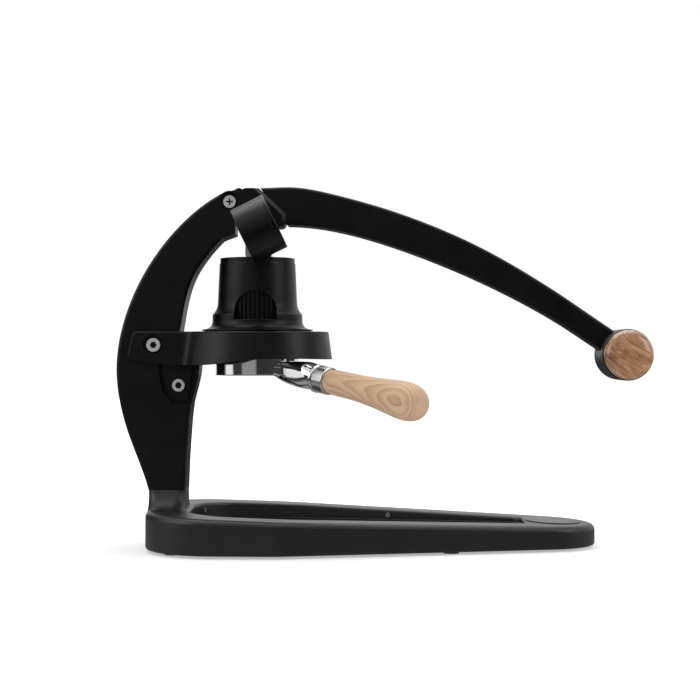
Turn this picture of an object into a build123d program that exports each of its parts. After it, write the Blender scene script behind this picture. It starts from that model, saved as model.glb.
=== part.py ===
from build123d import *
import os
from math import acos, atan2, cos, degrees, radians, sin, sqrt

# A lever espresso machine that stands on its own. Millimetres.
# The origin is on the table, straight below the brew axis. +X runs from the
# post towards the lever's handle, +Z is up, and Y = 0 is the middle plane of
# the base, post, bracket and lever. The pressure gauge is on the -Y side.

os.makedirs("parts", exist_ok=True)

# Clearances shared by the whole machine
running_gap = 0.3
slide_gap = 0.5
seat_gap = 0.1
turn_fit = 0.05
overrun = 5.0

# Shares and angles used throughout
third_share = 1 / 3
right_angle = 90.0
half_turn = 180.0
full_turn = 360.0
hex_sides = 6

# Base casting, a loop whose outlines are drawn round circles in plan
base_rear_wall = 34.0
base_front_wall = 57.9
base_half_width = 90.5
base_widest_x = 15.0
base_rear_corner = 60.0
base_rear_half_width = 88.5
base_front_corner = 46.4
base_rear_height = 30.3
base_front_height = 16.8
foot_stand = 2.0
base_top_round = 5.0
base_inner_round = 2.5
base_bottom_round = 2.0
loop_rear_reach = 54.0
loop_front_reach = 218.0
loop_half_width = 62.0
loop_rear_half_width = 61.0
loop_widest_x = 25.0
loop_rear_corner = 42.0
loop_front_corner = 9.0
loop_front_half_width = 24.0
ledge_width = 3.0
ledge_height = 15.0

# Neck between base and post, and the screws that hold the post
seam_height = 47.0
neck_half_spread = 46.0
neck_mid_half_width = 25.0
neck_mid_height = 36.0
neck_root_depth = 4.0
neck_corner = 5.0
post_bolt_radius = 4.0
post_bolt_head_radius = 6.5
post_bolt_head_height = 8.0
post_bolt_depth_in_post = 22.0
post_bolt_spacing = 18.0
key_radius = 3.0
key_depth = 4.0

# Front pad, feet and rail studs
pad_radius = 22.5
pad_thickness = 2.4
pad_recess = 1.6
pad_round = 0.6
pad_edge_distance = 1.5
foot_radius = 6.5
foot_recess = 3.0
foot_round = 0.6
foot_edge_distance = 14.0
foot_rear_angle = 140.0
foot_rail_share = 0.62
stud_radius = 1.2
stud_head_radius = 2.0
stud_head_height = 1.4
stud_bury = 6.0
stud_height_share = 0.82
stud_rear_angle = 148.0
stud_rail_share = 0.42

# Lever pivot, in the side view
pivot_setback = 21.7
pivot_rise = 105.2

# Post casting
post_reach = 113.4
post_half_width = 18.0
post_edge_round = 2.5
tongue_half_width = 10.0
tongue_radius = 9.0
rebate_gap = 0.4
tongue_tangent_angle = 120.0
tongue_hump_start = Vector(4.0, 10.4)
tongue_hump_top = Vector(9.2, 11.2)
tongue_hump_front = Vector(11.2, 7.0)
post_nose_x = 17.2
post_nose_rise = 7.3
post_back_shares = [(0.7716, 0), (0.8448, 0.1041), (0.9242, 0.2081), (0.9788, 0.3122), (1, 0.4163),
                    (0.9797, 0.5203), (0.9215, 0.6244), (0.828, 0.7285), (0.694, 0.8325), (0.5062, 0.9366),
                    (0.328, 1.006)]
post_front_low_shares = [(0.507, 0), (0.4982, 0.1071), (0.485, 0.2056), (0.4586, 0.3126), (0.4233, 0.3812)]
post_ledge_share = 0.4083
post_front_high_shares = [(0.5053, 0.6595), (0.4612, 0.728), (0.3642, 0.8064), (0.2434, 0.8724)]
post_nose_share = 0.8895

# Bracket: ring, arms and legs
ring_bottom = 152.7
ring_height = 22.6
ring_bottom_radius = 61.2
ring_top_radius = 58.2
ring_bore_radius = 44.0
arm_thickness = 7.0
arm_end_reach = 104.4
arm_end_slant = 5.6
arm_corner = 4.0
arm_drop = 4.4
arm_level_front = 48.0
arm_level_back = 72.0
arm_fillet = 9.0
arm_bevel = 1.2
leg_thickness = 3.4
leg_inset = 4.0
leg_back_reach = 74.9
leg_width = 23.2
leg_drop = 28.6
leg_corner = 1.5
leg_shares = [(0, 0), (0, -0.245), (0.104, -0.68), (0.43, -1), (0.835, -1), (1, -0.115), (1, 0)]
pocket_margin = 3.6
pocket_toe_room = 3.2
arm_bolt_reach = 82.6
arm_bolt_rise = 11.8
arm_bolt_radius = 3.0
arm_bolt_head_radius = 5.5
arm_bolt_head_height = 3.6
arm_recess_radius = 8.0
arm_recess_depth = 4.0
leg_bolt_reach = 62.8
leg_bolt_drop = 16.4
leg_bolt_radius = 2.5
leg_bolt_head_radius = 5.0
leg_bolt_head_height = 3.2
bracket_bolt_bite = 9.0
bolt_key_radius = 2.8
bolt_key_depth = 2.0

# Brew cylinder
bore_radius = 25.0
cylinder_wall = 2.5
cylinder_rise = 58.2
cylinder_flange_radius = 43.5
cylinder_flange_thickness = 4.4
cylinder_spigot = 3.0

# Jacket round the brew cylinder
jacket_rise = 59.9
jacket_top_radius = 30.5
jacket_rim_height = 4.2
jacket_rim_step = 0.5
jacket_waist_radius = 32.4
jacket_waist_rise = 24.7
jacket_band_radius = 36.8
jacket_band_rise = 9.3
jacket_band_height = 4.6
jacket_foot_radius = 45.2
jacket_foot_rim = 1.1
jacket_spigot_radius = 43.6
window_half_width = 17.0
window_rise = 9.6
window_straight = 6.0
window_depth_radius = 31.4
groove_depth = 1.6
groove_width = 2.2
groove_count = 9
groove_pitch_angle = 6.6

# Bayonet collar, gasket and screen
collar_lip = 3.4
lug_room = 5.4
collar_mouth_radius = 35.0
collar_groove_radius = 38.9
collar_side_gap = 0.15
notch_half_angle = 18.0
collar_screw_circle = 41.0
collar_screw_radius = 1.5
collar_screw_count = 4
collar_screw_phase = 45.0
collar_screw_head_radius = 2.4
collar_screw_head_height = 1.6
collar_screw_length = 16.0
gasket_outer_radius = 36.6
gasket_inner_radius = 29.2
gasket_height = 5.0
screen_radius = 28.6
screen_thickness = 1.2
screen_hole_radius = 1.2
screen_ring_radii = [9.0, 18.0]
screen_ring_counts = [8, 16]

# Portafilter
portafilter_radius = 34.3
portafilter_bore = 31.4
portafilter_skirt = 12.9
portafilter_round = 0.8
lug_radius = 38.3
lug_height = 3.8
lug_half_angle = 15.0
lug_phase = 20.0
unlock_angle = 45.0
basket_wall = 0.8
basket_radius = 30.0
basket_rim_radius = 34.0
basket_rim_height = 1.0
basket_bottom_round = 2.0
basket_depth = 20.2
spring_wire = 0.6
spring_drop = 6.0
spring_gap_angle = 24.0
grip_azimuth = 45.0
grip_tilt = 8.5
grip_axis_rise = 8.8
neck_start = 32.5
neck_end = 75.0
neck_root_height = 9.0
neck_root_width = 24.0
neck_waist_height = 13.0
neck_waist_width = 16.0
neck_waist_share = 0.35
neck_end_radius = 10.2
neck_side_count = 8
ferrule_length = 11.5
ferrule_radius = 10.9
ferrule_round = 0.8
grip_length = 99.5
grip_radius = 14.2
grip_shares = [(0, 0.755), (0.12, 0.775), (0.35, 0.85), (0.6, 0.94), (0.8, 1), (0.93, 0.83), (1, 0)]
grip_rod_radius = 4.0
grip_rod_length = 52.0
grip_rod_in_neck = 12.0

# Lever casting
arm_half_width = 13.5
arm_tip_half_width = 10.0
arm_edge_round = 2.2
cheek_half_width = 18.0
cheek_radius = 8.8
cheek_start_angle = 56.0
cheek_neck_angle = 60.0
cheek_crown_reach = 12.5
cheek_top_reach = 23.7
cheek_top_rise = 11.0
cheek_nose_reach = 45.4
cheek_nose_drop = 9.4
cheek_heel_drop = 20.3
cheek_belly_reach = 30.0
cheek_nose_round = 6.0
cheek_heel_round = 4.5
cheek_bevel_in = 3.0
fork_gap = 0.4
web_reach = 15.7
web_rise = 2.0
fork_floor_reach = 34.9
fork_floor_drop = 7.0
fork_slant_reach = 26.0
lever_top_shares = [(0.0767, 1.0944), (0.1563, 1.0992), (0.2625, 1.0524), (0.4042, 0.9492),
                    (0.5455, 0.8113), (0.6872, 0.6306), (0.8288, 0.4073)]
lever_bottom_shares = [(0.1463, 0.8492), (0.2523, 0.8226), (0.3939, 0.7266), (0.5353, 0.5919),
                       (0.6766, 0.4282), (0.818, 0.2306)]
screw_head_radius = 5.0
screw_head_height = 2.4
screw_recess_radius = 8.0
screw_recess_depth = 2.6
screw_shank_radius = 2.5
screw_length = 9.0
screw_cross_width = 1.3
screw_cross_length = 5.4
screw_cross_depth = 1.2

# Pivot shaft, bushings and link pin
shaft_radius = 4.0
bushing_wall = 1.5
bushing_length = 7.0
link_radius = 27.0
link_angle = 45.0
link_pin_radius = 3.0
link_boss_radius = 9.0
link_pin_overhang = 2.4
clip_thickness = 1.0
clip_outer_radius = 5.0
clip_groove = 0.7
clip_mouth_width = 3.6

# Crosswise handle
handle_x = 300.2
handle_drop = 124.0
barrel_radius = 20.9
barrel_half_width = 21.5
barrel_edge = 0.8
cap_radius = 19.6
cap_thickness = 8.0
cap_dome = 1.8
cap_edge_round = 1.6
handle_rod_radius = 4.0
handle_rod_bite = 4.5
tip_angle = 33.8
tip_above = 11.0
tip_below = 8.4
tip_bury = 16.0
tip_socket_gap = 0.2

# Plunger
head_back_reach = 9.5
head_front_reach = 12.0
head_half_width = 9.3
head_cap = 4.5
head_below_pin = 26.0
head_round = 3.0
link_lift_play = 1.1
link_side_play = 0.8
stem_radius = 7.0
stem_socket = 6.0
piston_radius = 24.6
piston_height = 15.0
piston_lift = 0.7
piston_edge = 0.8
seal_height = 2.6
seal_depth = 1.8
seal_fit = 0.05
seal_pitch = 6.0
seal_first = 3.2

# Pressure gauge
gauge_tilt = 26.0
gauge_x = 3.6
gauge_reach = 48.0
gauge_drop = 5.2081
gauge_radius = 22.85
gauge_depth = 28.7
gauge_wall = 1.6
gauge_bezel_depth = 3.4
gauge_bezel_lip = 2.8
gauge_bezel_round = 0.8
gauge_back_round = 1.0
glass_thickness = 1.4
dial_thickness = 0.8
dial_drop = 4.6
movement_radius = 8.0
needle_length = 15.5
needle_tail = 5.0
needle_width = 1.6
needle_thickness = 0.5
needle_hub_radius = 2.2
needle_hub_height = 1.2
needle_spindle_radius = 0.8
needle_clear = 0.6
needle_rest_angle = 225.0
needle_bearing = 6.0
tube_radius = 3.6
tube_bore = 1.5
tube_below_pin = 16.0
tube_socket = 4.0
tube_nut_radius = 4.9
tube_nut_length = 6.0

# Values worked out from the sizes above
base_rear_reach = loop_rear_reach + base_rear_wall
base_front_reach = loop_front_reach + base_front_wall
base_length = base_rear_reach + base_front_reach
pad_centre_reach = loop_front_reach + pad_edge_distance + pad_radius
base_slope = degrees(atan2(base_rear_height - base_front_height, base_length))
ring_top = ring_bottom + ring_height
pivot_height = ring_top + pivot_rise
handle_height = pivot_height - handle_drop
pivot = Vector(-pivot_setback, pivot_height)
post_rise = pivot_height - seam_height
arm_low = ring_bottom - arm_drop
link = pivot + Vector(cos(radians(link_angle)), -sin(radians(link_angle))) * link_radius
handle_centre = Vector(handle_x, handle_height)


def polar(centre, radius, angle):
    """A point of the side view, on a circle round the centre."""
    return Vector(centre.X + radius * cos(radians(angle)), centre.Y + radius * sin(radians(angle)))


def rail_line(start, start_radius, end, end_radius):
    """The straight side that touches two circles of a plan outline, and its outward normal."""
    along = end - start
    lean = degrees(atan2(along.Y, along.X)) + degrees(acos((start_radius - end_radius) / along.length))
    normal = Vector(cos(radians(lean)), sin(radians(lean)))
    return start + normal * start_radius, end + normal * end_radius, normal


def both_sides(points):
    """Plan points on the +Y side, and the same points on the -Y side."""
    return [(x, side * y) for x, y in points for side in (1, -1)]


def in_post(shares):
    """Side view points of the post, from shares of its reach and rise."""
    return [(-post_reach * a, seam_height + post_rise * b) for a, b in shares]


def in_lever(shares):
    """Side view points of the lever, from shares of the way from pivot to handle."""
    length = handle_x - pivot.X
    return [(pivot.X + length * a, handle_height + handle_drop * b) for a, b in shares]


def both_faces(distance, depth):
    """Side view planes from which one positive extrusion starts on each side of the middle."""
    return Plane.XZ.offset(distance), Plane.XZ.offset(-distance - depth)


def base_top_at(x):
    """Height of the base's sloping top, over the table."""
    share = (x + base_rear_reach) / base_length
    return foot_stand + base_rear_height + (base_front_height - base_rear_height) * share


def write(builder, name):
    """Label a finished piece and write its file."""
    builder.part.label = name
    export_step(builder.part, f"parts/{name}.step")


# Circles that carry the base's outer outline and the loop's outline, +Y side
outer_rear = Vector(-base_rear_reach + base_rear_corner, base_rear_half_width - base_rear_corner)
outer_middle = Vector(base_widest_x, base_half_width - base_rear_corner)
outer_front = Vector(base_front_reach - base_front_corner, 0)
loop_rear = Vector(-loop_rear_reach + loop_rear_corner, loop_rear_half_width - loop_rear_corner)
loop_middle = Vector(loop_widest_x, loop_half_width - loop_rear_corner)
loop_front = Vector(loop_front_reach - loop_front_corner, loop_front_half_width - loop_front_corner)
outer_side_start, outer_side_end, outer_normal = rail_line(
    outer_middle, base_rear_corner, outer_front, base_front_corner)
loop_side_start, loop_side_end, loop_normal = rail_line(
    loop_middle, loop_rear_corner, loop_front, loop_front_corner)


def loop_outline(inset):
    """The loop's outline in plan, drawn in by the inset."""
    with BuildSketch(Plane.XY.offset(foot_stand)) as outline:
        with Locations(*both_sides([(loop_rear.X, loop_rear.Y), (loop_middle.X, loop_middle.Y)])):
            Circle(loop_rear_corner - inset)
        with Locations(*both_sides([(loop_front.X, loop_front.Y)])):
            Circle(loop_front_corner - inset)
        make_hull()
    return outline.sketch


loop_hole = loop_outline(0)
ledge_ring = loop_hole - loop_outline(ledge_width)

# Feet: one rubber disc under each corner of the loop, in its own recess
rear_foot = polar(outer_rear, base_rear_corner - foot_edge_distance, foot_rear_angle)
rail_foot = outer_side_start + (outer_side_end - outer_side_start) * foot_rail_share
rail_foot = rail_foot - outer_normal * foot_edge_distance
foot_places = both_sides([(rear_foot.X, rear_foot.Y), (rail_foot.X, rail_foot.Y)])
foot_places.append((base_front_reach - foot_edge_distance, 0))

with BuildPart() as base_feet:
    with BuildSketch():
        with Locations(*foot_places):
            Circle(foot_radius)
    extrude(amount=foot_stand + foot_recess)
    fillet(base_feet.faces().group_by(Axis.Z)[0].edges(), foot_round)
write(base_feet, "base_feet")

# Studs on the loop's inner walls: a place on the wall and the way that it faces
rear_stud = polar(loop_rear, loop_rear_corner, stud_rear_angle)
rail_stud = loop_side_start + (loop_side_end - loop_side_start) * stud_rail_share
stud_planes = []
for place, outward in ((rear_stud, rear_stud - loop_rear), (rail_stud, loop_normal)):
    for side in (1, -1):
        stud_planes.append(Plane(
            origin=(place.X, side * place.Y, base_top_at(place.X) * stud_height_share),
            x_dir=(0, 0, 1),
            z_dir=(-outward.X, -side * outward.Y, 0),
        ))

# Base: an open loop that tapers to the front and slopes down to it
post_back_x = -post_reach * post_back_shares[0][0]
post_front_x = -post_reach * post_front_low_shares[0][0]
neck_middle_x = (post_back_x + post_front_x) / 2
neck_length = post_front_x - post_back_x
bolt_places = [(neck_middle_x, post_bolt_spacing / 2), (neck_middle_x, -post_bolt_spacing / 2)]
head_seat = seam_height - post_bolt_depth_in_post
top_plane = Plane(
    origin=(-base_rear_reach, 0, foot_stand + base_rear_height),
    x_dir=(cos(radians(base_slope)), 0, -sin(radians(base_slope))),
    z_dir=(sin(radians(base_slope)), 0, cos(radians(base_slope))),
)
pad_seat = Plane(
    origin=(pad_centre_reach, 0, base_top_at(pad_centre_reach)),
    x_dir=top_plane.x_dir,
    z_dir=top_plane.z_dir,
)

with BuildPart() as base:
    with BuildSketch(Plane.XY.offset(foot_stand)):
        with Locations(*both_sides([(outer_rear.X, outer_rear.Y), (outer_middle.X, outer_middle.Y)])):
            Circle(base_rear_corner)
        with Locations((outer_front.X, outer_front.Y)):
            Circle(base_front_corner)
        make_hull()
    extrude(amount=base_rear_height)
    extrude(loop_hole, amount=base_rear_height, mode=Mode.SUBTRACT)
    split(bisect_by=top_plane, keep=Keep.BOTTOM)
    top_face = base.faces().sort_by(Axis.Z)[-1]
    fillet(top_face.outer_wire().edges(), base_top_round)
    top_face = base.faces().filter_by(GeomType.PLANE).sort_by(Axis.Z)[-1]
    fillet(top_face.inner_wires()[0].edges(), base_inner_round)
    bottom_face = base.faces().sort_by(Axis.Z)[0]
    fillet(bottom_face.outer_wire().edges(), base_bottom_round)
    # inner ledge along the loop's foot
    extrude(ledge_ring, amount=ledge_height)
    # neck that flares out of the base's rear end
    for height, half_width, corner_radius in (
        (base_rear_height + foot_stand - neck_root_depth, neck_half_spread, neck_corner * 2),
        (neck_mid_height, neck_mid_half_width, neck_corner * 2),
        (seam_height, post_half_width, neck_corner),
    ):
        with BuildSketch(Plane.XY.offset(height)):
            with Locations((neck_middle_x, 0)):
                RectangleRounded(neck_length, half_width * 2, corner_radius)
    loft()
    # recesses for the feet and the front pad
    with BuildSketch(Plane.XY.offset(foot_stand)):
        with Locations(*foot_places):
            Circle(foot_radius + seat_gap)
    extrude(amount=foot_recess, mode=Mode.SUBTRACT)
    with BuildSketch(pad_seat):
        Circle(pad_radius + seat_gap)
    extrude(amount=-pad_recess, mode=Mode.SUBTRACT)
    # screws up into the post, with their heads sunk in the underside
    with BuildSketch(Plane.XY.offset(foot_stand)):
        with Locations(*bolt_places):
            Circle(post_bolt_radius + seat_gap)
    extrude(amount=seam_height, mode=Mode.SUBTRACT)
    with BuildSketch(Plane.XY.offset(foot_stand)):
        with Locations(*bolt_places):
            Circle(post_bolt_head_radius + seat_gap)
    extrude(amount=head_seat - foot_stand, mode=Mode.SUBTRACT)
    # holes for the studs on the inner walls
    for stud_plane in stud_planes:
        with BuildSketch(stud_plane.offset(-stud_bury)):
            Circle(stud_radius + seat_gap)
        extrude(amount=stud_bury + ledge_width, mode=Mode.SUBTRACT)
write(base, "base")

# Front pad: a plain round pad let into the front end of the base
with BuildPart() as front_pad:
    with BuildSketch(pad_seat.offset(-pad_recess)):
        Circle(pad_radius)
    extrude(amount=pad_thickness)
    fillet(front_pad.faces().sort_by(Axis.Z)[-1].edges(), pad_round)
write(front_pad, "front_pad")

# Rail studs: round heads on the inner walls of the loop
with BuildPart() as rail_studs:
    for stud_plane in stud_planes:
        with BuildSketch(stud_plane.offset(-stud_bury)):
            Circle(stud_radius)
        extrude(amount=stud_bury + stud_head_height)
        with BuildSketch(stud_plane.offset(seat_gap)):
            Circle(stud_head_radius)
        extrude(amount=stud_head_height)
write(rail_studs, "rail_studs")

# Screws from under the base into the post
with BuildPart() as post_bolts:
    with BuildSketch(Plane.XY.offset(head_seat - post_bolt_head_height)):
        with Locations(*bolt_places):
            Circle(post_bolt_head_radius)
    extrude(amount=post_bolt_head_height)
    with BuildSketch(Plane.XY.offset(head_seat)):
        with Locations(*bolt_places):
            Circle(post_bolt_radius)
    extrude(amount=2 * post_bolt_depth_in_post)
    with BuildSketch(Plane.XY.offset(head_seat - post_bolt_head_height)):
        with Locations(*bolt_places):
            RegularPolygon(key_radius, hex_sides)
    extrude(amount=key_depth, mode=Mode.SUBTRACT)
write(post_bolts, "post_bolts")

# Outlines of the bracket's legs, which also shape the pockets in the post
leg_points = [(-leg_back_reach + leg_width * a, arm_low + leg_drop * b) for a, b in leg_shares]
leg_front_x = leg_width - leg_back_reach
arm_bolt_place = (-arm_bolt_reach, ring_bottom + arm_bolt_rise)
leg_bolt_place = (-leg_bolt_reach, arm_low - leg_bolt_drop)
pivot_place = (pivot.X, pivot.Y)
link_place = (link.X, link.Y)
handle_place = (handle_x, handle_height)

# Post: a curved upright, stepped for the bracket, with a tongue at the top
ledge_front = (-post_reach * post_ledge_share, arm_low)
riser_x = -(ring_bottom_radius + slide_gap + running_gap)
nose_low = Vector(-post_nose_x, seam_height + post_rise * post_nose_share)
nose_high = nose_low + Vector(0, post_nose_rise)
tongue_start = polar(pivot, tongue_radius, tongue_tangent_angle)
tongue_end = polar(pivot, tongue_radius, -cheek_neck_angle * third_share)
rebate_neck = polar(pivot, tongue_radius + rebate_gap, -cheek_neck_angle - overrun * 2)

with BuildPart() as post:
    with BuildSketch(Plane.XZ):
        with BuildLine():
            Spline(*in_post(post_back_shares), tongue_start)
            Line(tongue_start, pivot + tongue_hump_start)
            ThreePointArc(pivot + tongue_hump_start, pivot + tongue_hump_top, pivot + tongue_hump_front)
            Polyline(pivot + tongue_hump_front, tongue_end, nose_high, nose_low,
                     in_post(post_front_high_shares)[-1])
            Spline(*reversed(in_post(post_front_high_shares)), (riser_x, ring_top))
            Polyline((riser_x, ring_top), (riser_x, arm_low), ledge_front)
            Spline(*in_post(post_front_low_shares), ledge_front)
            Line(in_post(post_front_low_shares)[0], in_post(post_back_shares)[0])
        make_face()
    extrude(amount=post_half_width, both=True)
    fillet(post.edges().filter_by(GeomType.BSPLINE), post_edge_round)
    # rebates on both sides of the tongue, for the lever's cheeks
    rebate_depth = post_half_width - tongue_half_width + overrun
    with BuildSketch(*both_faces(tongue_half_width, rebate_depth)):
        with Locations(pivot_place):
            Circle(tongue_radius + rebate_gap)
        with BuildLine():
            Polyline(nose_high, rebate_neck, pivot, pivot + Vector(0, tongue_radius + overrun),
                     pivot + Vector(tongue_radius + overrun, tongue_radius + overrun),
                     nose_high + Vector(tongue_radius + overrun, 0), close=True)
        make_face()
    extrude(amount=rebate_depth, mode=Mode.SUBTRACT)
    # pockets for the bracket's legs, open to the front
    with BuildSketch(*both_faces(post_half_width - leg_inset, leg_inset + overrun)):
        with Locations((0, 0), (0, -pocket_toe_room)):
            with BuildLine():
                Polyline(*leg_points, close=True)
            make_face()
        offset(amount=pocket_margin)
        with Locations((leg_front_x + overrun, arm_low - leg_drop / 2)):
            Rectangle(leg_width, leg_drop + pocket_margin * 2, align=(Align.CENTER, Align.CENTER))
    extrude(amount=leg_inset + overrun, mode=Mode.SUBTRACT)
    # holes for the bracket's bolts, the bushings and the screws from below
    with BuildSketch(Plane.XZ.offset(-post_half_width - overrun)):
        with Locations(arm_bolt_place):
            Circle(arm_bolt_radius + seat_gap)
        with Locations(leg_bolt_place):
            Circle(leg_bolt_radius + seat_gap)
        with Locations(pivot_place):
            Circle(shaft_radius + turn_fit + bushing_wall)
    extrude(amount=2 * (post_half_width + overrun), mode=Mode.SUBTRACT)
    with BuildSketch(Plane.XY.offset(seam_height)):
        with Locations(*bolt_places):
            Circle(post_bolt_radius + seat_gap)
    extrude(amount=post_bolt_depth_in_post + seat_gap, mode=Mode.SUBTRACT)
write(post, "post")

# Bracket: a ring with two arms round the post and two legs in its pockets
arm_face = post_half_width + seat_gap
arm_outer = arm_face + arm_thickness
leg_face = post_half_width - leg_inset + seat_gap
ring_draft = (ring_bottom_radius - ring_top_radius) / ring_height

with BuildPart() as bracket:
    with BuildSketch(Plane.XZ):
        with BuildLine():
            Polyline((ring_bore_radius, arm_low), (ring_bottom_radius + ring_draft * arm_drop, arm_low),
                     (ring_top_radius, ring_top), (ring_bore_radius, ring_top), close=True)
        make_face()
    revolve(axis=Axis.Z)
    with BuildSketch(*both_faces(arm_face, arm_thickness)):
        with BuildLine():
            Polyline((-arm_end_reach, ring_bottom), (-arm_level_back, arm_low), (-arm_level_front, arm_low),
                     (-ring_bore_radius / 2, arm_low), (-ring_bore_radius / 2, ring_top),
                     (-arm_end_reach + arm_end_slant, ring_top), close=True)
        make_face()
        fillet(vertices().group_by(Axis.X)[0] + vertices().group_by(Axis.X)[1], arm_corner)
    extrude(amount=arm_thickness)
    # the underside rises towards the front
    with BuildSketch(Plane.XZ):
        with BuildLine():
            rise = Spline((-arm_level_front, arm_low), (0, ring_bottom),
                          (ring_bottom_radius + overrun, ring_bottom + seat_gap), tangents=((1, 0), (1, 0)))
            Polyline(rise @ 1, (ring_bottom_radius + overrun, arm_low - overrun),
                     (-arm_level_front, arm_low - overrun), rise @ 0)
        make_face()
    extrude(amount=ring_bottom_radius + overrun, both=True, mode=Mode.SUBTRACT)
    with BuildSketch(Plane.XY.offset(arm_low - overrun)):
        Circle(ring_bore_radius)
    extrude(amount=ring_height + 2 * overrun + arm_drop, mode=Mode.SUBTRACT)
    # hollow roundings where the arms meet the ring, then a bevel round the whole outline
    corner_x = -sqrt(ring_top_radius ** 2 - arm_outer ** 2)
    hollow_edges = [bracket.edges().filter_by(lambda edge: edge.bounding_box().size.Z > ring_height / 2)
                    .sort_by_distance((corner_x, side * arm_outer, (ring_top + ring_bottom) / 2))[0]
                    for side in (1, -1)]
    fillet(hollow_edges, arm_fillet)
    outline_edges = [bracket.edges().sort_by_distance((-arm_bolt_reach, side * arm_outer, ring_top))[0]
                     for side in (1, -1)]
    fillet(outline_edges, arm_bevel)
    # legs, with roots that reach out to the arms
    leg_root = pocket_margin - seat_gap
    with BuildSketch(*both_faces(leg_face, leg_thickness)):
        with BuildLine():
            Polyline(*leg_points, close=True)
        make_face()
        fillet(vertices().group_by(Axis.Y)[0], leg_corner)
    extrude(amount=leg_thickness)
    with BuildSketch(*both_faces(leg_face, arm_face - leg_face)):
        with Locations((leg_front_x, arm_low)):
            Rectangle(leg_width, leg_root, align=(Align.MAX, Align.MIN))
    extrude(amount=arm_face - leg_face)
    # recesses and holes for the bolts
    with BuildSketch(*both_faces(arm_outer - arm_recess_depth, arm_recess_depth)):
        with Locations(arm_bolt_place):
            Circle(arm_recess_radius)
    extrude(amount=arm_recess_depth, mode=Mode.SUBTRACT)
    with BuildSketch(Plane.XZ.offset(-arm_outer)):
        with Locations(arm_bolt_place):
            Circle(arm_bolt_radius + seat_gap)
        with Locations(leg_bolt_place):
            Circle(leg_bolt_radius + seat_gap)
    extrude(amount=2 * arm_outer, mode=Mode.SUBTRACT)
write(bracket, "bracket")


def socket_screws(place, seat, head_radius, head_height, radius, bite, key):
    """A pair of hex socket screws, one on each side, with their heads' undersides at the seat."""
    with BuildPart() as screws:
        with BuildSketch(*both_faces(seat, head_height)):
            with Locations(place):
                Circle(head_radius)
        extrude(amount=head_height)
        with BuildSketch(*both_faces(seat - bite, bite)):
            with Locations(place):
                Circle(radius)
        extrude(amount=bite)
        with BuildSketch(*both_faces(seat + head_height - bolt_key_depth, bolt_key_depth)):
            with Locations(place):
                RegularPolygon(key, hex_sides)
        extrude(amount=bolt_key_depth, mode=Mode.SUBTRACT)
    return screws


arm_bolt_seat = arm_outer - arm_recess_depth
leg_bolt_seat = leg_face + leg_thickness
bracket_arm_bolts = socket_screws(arm_bolt_place, arm_bolt_seat, arm_bolt_head_radius, arm_bolt_head_height,
                                  arm_bolt_radius, arm_bolt_seat - bracket_bolt_bite, bolt_key_radius)
write(bracket_arm_bolts, "bracket_arm_bolts")
bracket_leg_bolts = socket_screws(leg_bolt_place, leg_bolt_seat, leg_bolt_head_radius, leg_bolt_head_height,
                                  leg_bolt_radius, leg_bolt_seat - bracket_bolt_bite, bolt_key_radius)
write(bracket_leg_bolts, "bracket_leg_bolts")

# Heights in the stack of pieces inside the bracket's ring, from below
collar_bottom = ring_bottom + slide_gap
lip_top = collar_bottom + collar_lip
gasket_bottom = lip_top + lug_room
flange_bottom = gasket_bottom + gasket_height
flange_top = flange_bottom + cylinder_flange_thickness
spigot_bottom = flange_bottom - cylinder_spigot
screen_bottom = spigot_bottom - screen_thickness
lug_bottom = lip_top + running_gap
portafilter_top = lug_bottom + lug_height
cylinder_radius = bore_radius + cylinder_wall
cylinder_top = ring_top + cylinder_rise

# Brew cylinder: a steel sleeve, open at the top, with a flange in the ring
with BuildPart() as brew_cylinder:
    with BuildSketch(Plane.XZ):
        with BuildLine():
            Polyline((bore_radius, spigot_bottom), (screen_radius, spigot_bottom),
                     (screen_radius, flange_bottom), (cylinder_flange_radius, flange_bottom),
                     (cylinder_flange_radius, flange_top), (cylinder_radius, flange_top),
                     (cylinder_radius, cylinder_top), (bore_radius, cylinder_top), close=True)
        make_face()
    revolve(axis=Axis.Z)
    with BuildSketch(Plane.XY.offset(flange_bottom)):
        with PolarLocations(collar_screw_circle, collar_screw_count, start_angle=collar_screw_phase):
            Circle(collar_screw_radius + seat_gap)
    extrude(amount=cylinder_flange_thickness, mode=Mode.SUBTRACT)
write(brew_cylinder, "brew_cylinder")

# Jacket: a flared sleeve over the cylinder, with an arched ribbed window
jacket_top = ring_top + jacket_rise
jacket_waist_height = ring_top + jacket_waist_rise
jacket_band_bottom = ring_top + jacket_band_rise
band_top = jacket_band_bottom + jacket_band_height
jacket_foot = ring_top + running_gap + slide_gap
window_bottom = ring_top + window_rise
window_crown = window_bottom + window_straight

with BuildSketch(Plane.XZ) as window_outline:
    with BuildLine():
        Polyline((-window_half_width, window_crown), (-window_half_width, window_bottom),
                 (window_half_width, window_bottom), (window_half_width, window_crown))
        ThreePointArc((window_half_width, window_crown), (0, window_crown + window_half_width),
                      (-window_half_width, window_crown))
    make_face()

with BuildPart() as window_cutter:
    extrude(window_outline.sketch, amount=jacket_foot_radius)
    with BuildSketch(Plane.XY.offset(window_bottom)):
        Circle(window_depth_radius)
    extrude(amount=jacket_top - window_bottom, mode=Mode.SUBTRACT)

with BuildPart() as groove_cutter:
    extrude(window_outline.sketch, amount=jacket_foot_radius)
    with BuildSketch(Plane.XY.offset(window_bottom)):
        for turn in range(groove_count):
            angle = (turn - (groove_count - 1) / 2) * groove_pitch_angle - right_angle
            groove_middle = polar(Vector(0, 0), window_depth_radius, angle)
            with Locations(Location((groove_middle.X, groove_middle.Y, 0), (0, 0, angle))):
                Rectangle(groove_depth * 2, groove_width)
    extrude(amount=jacket_top - window_bottom, mode=Mode.INTERSECT)

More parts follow.
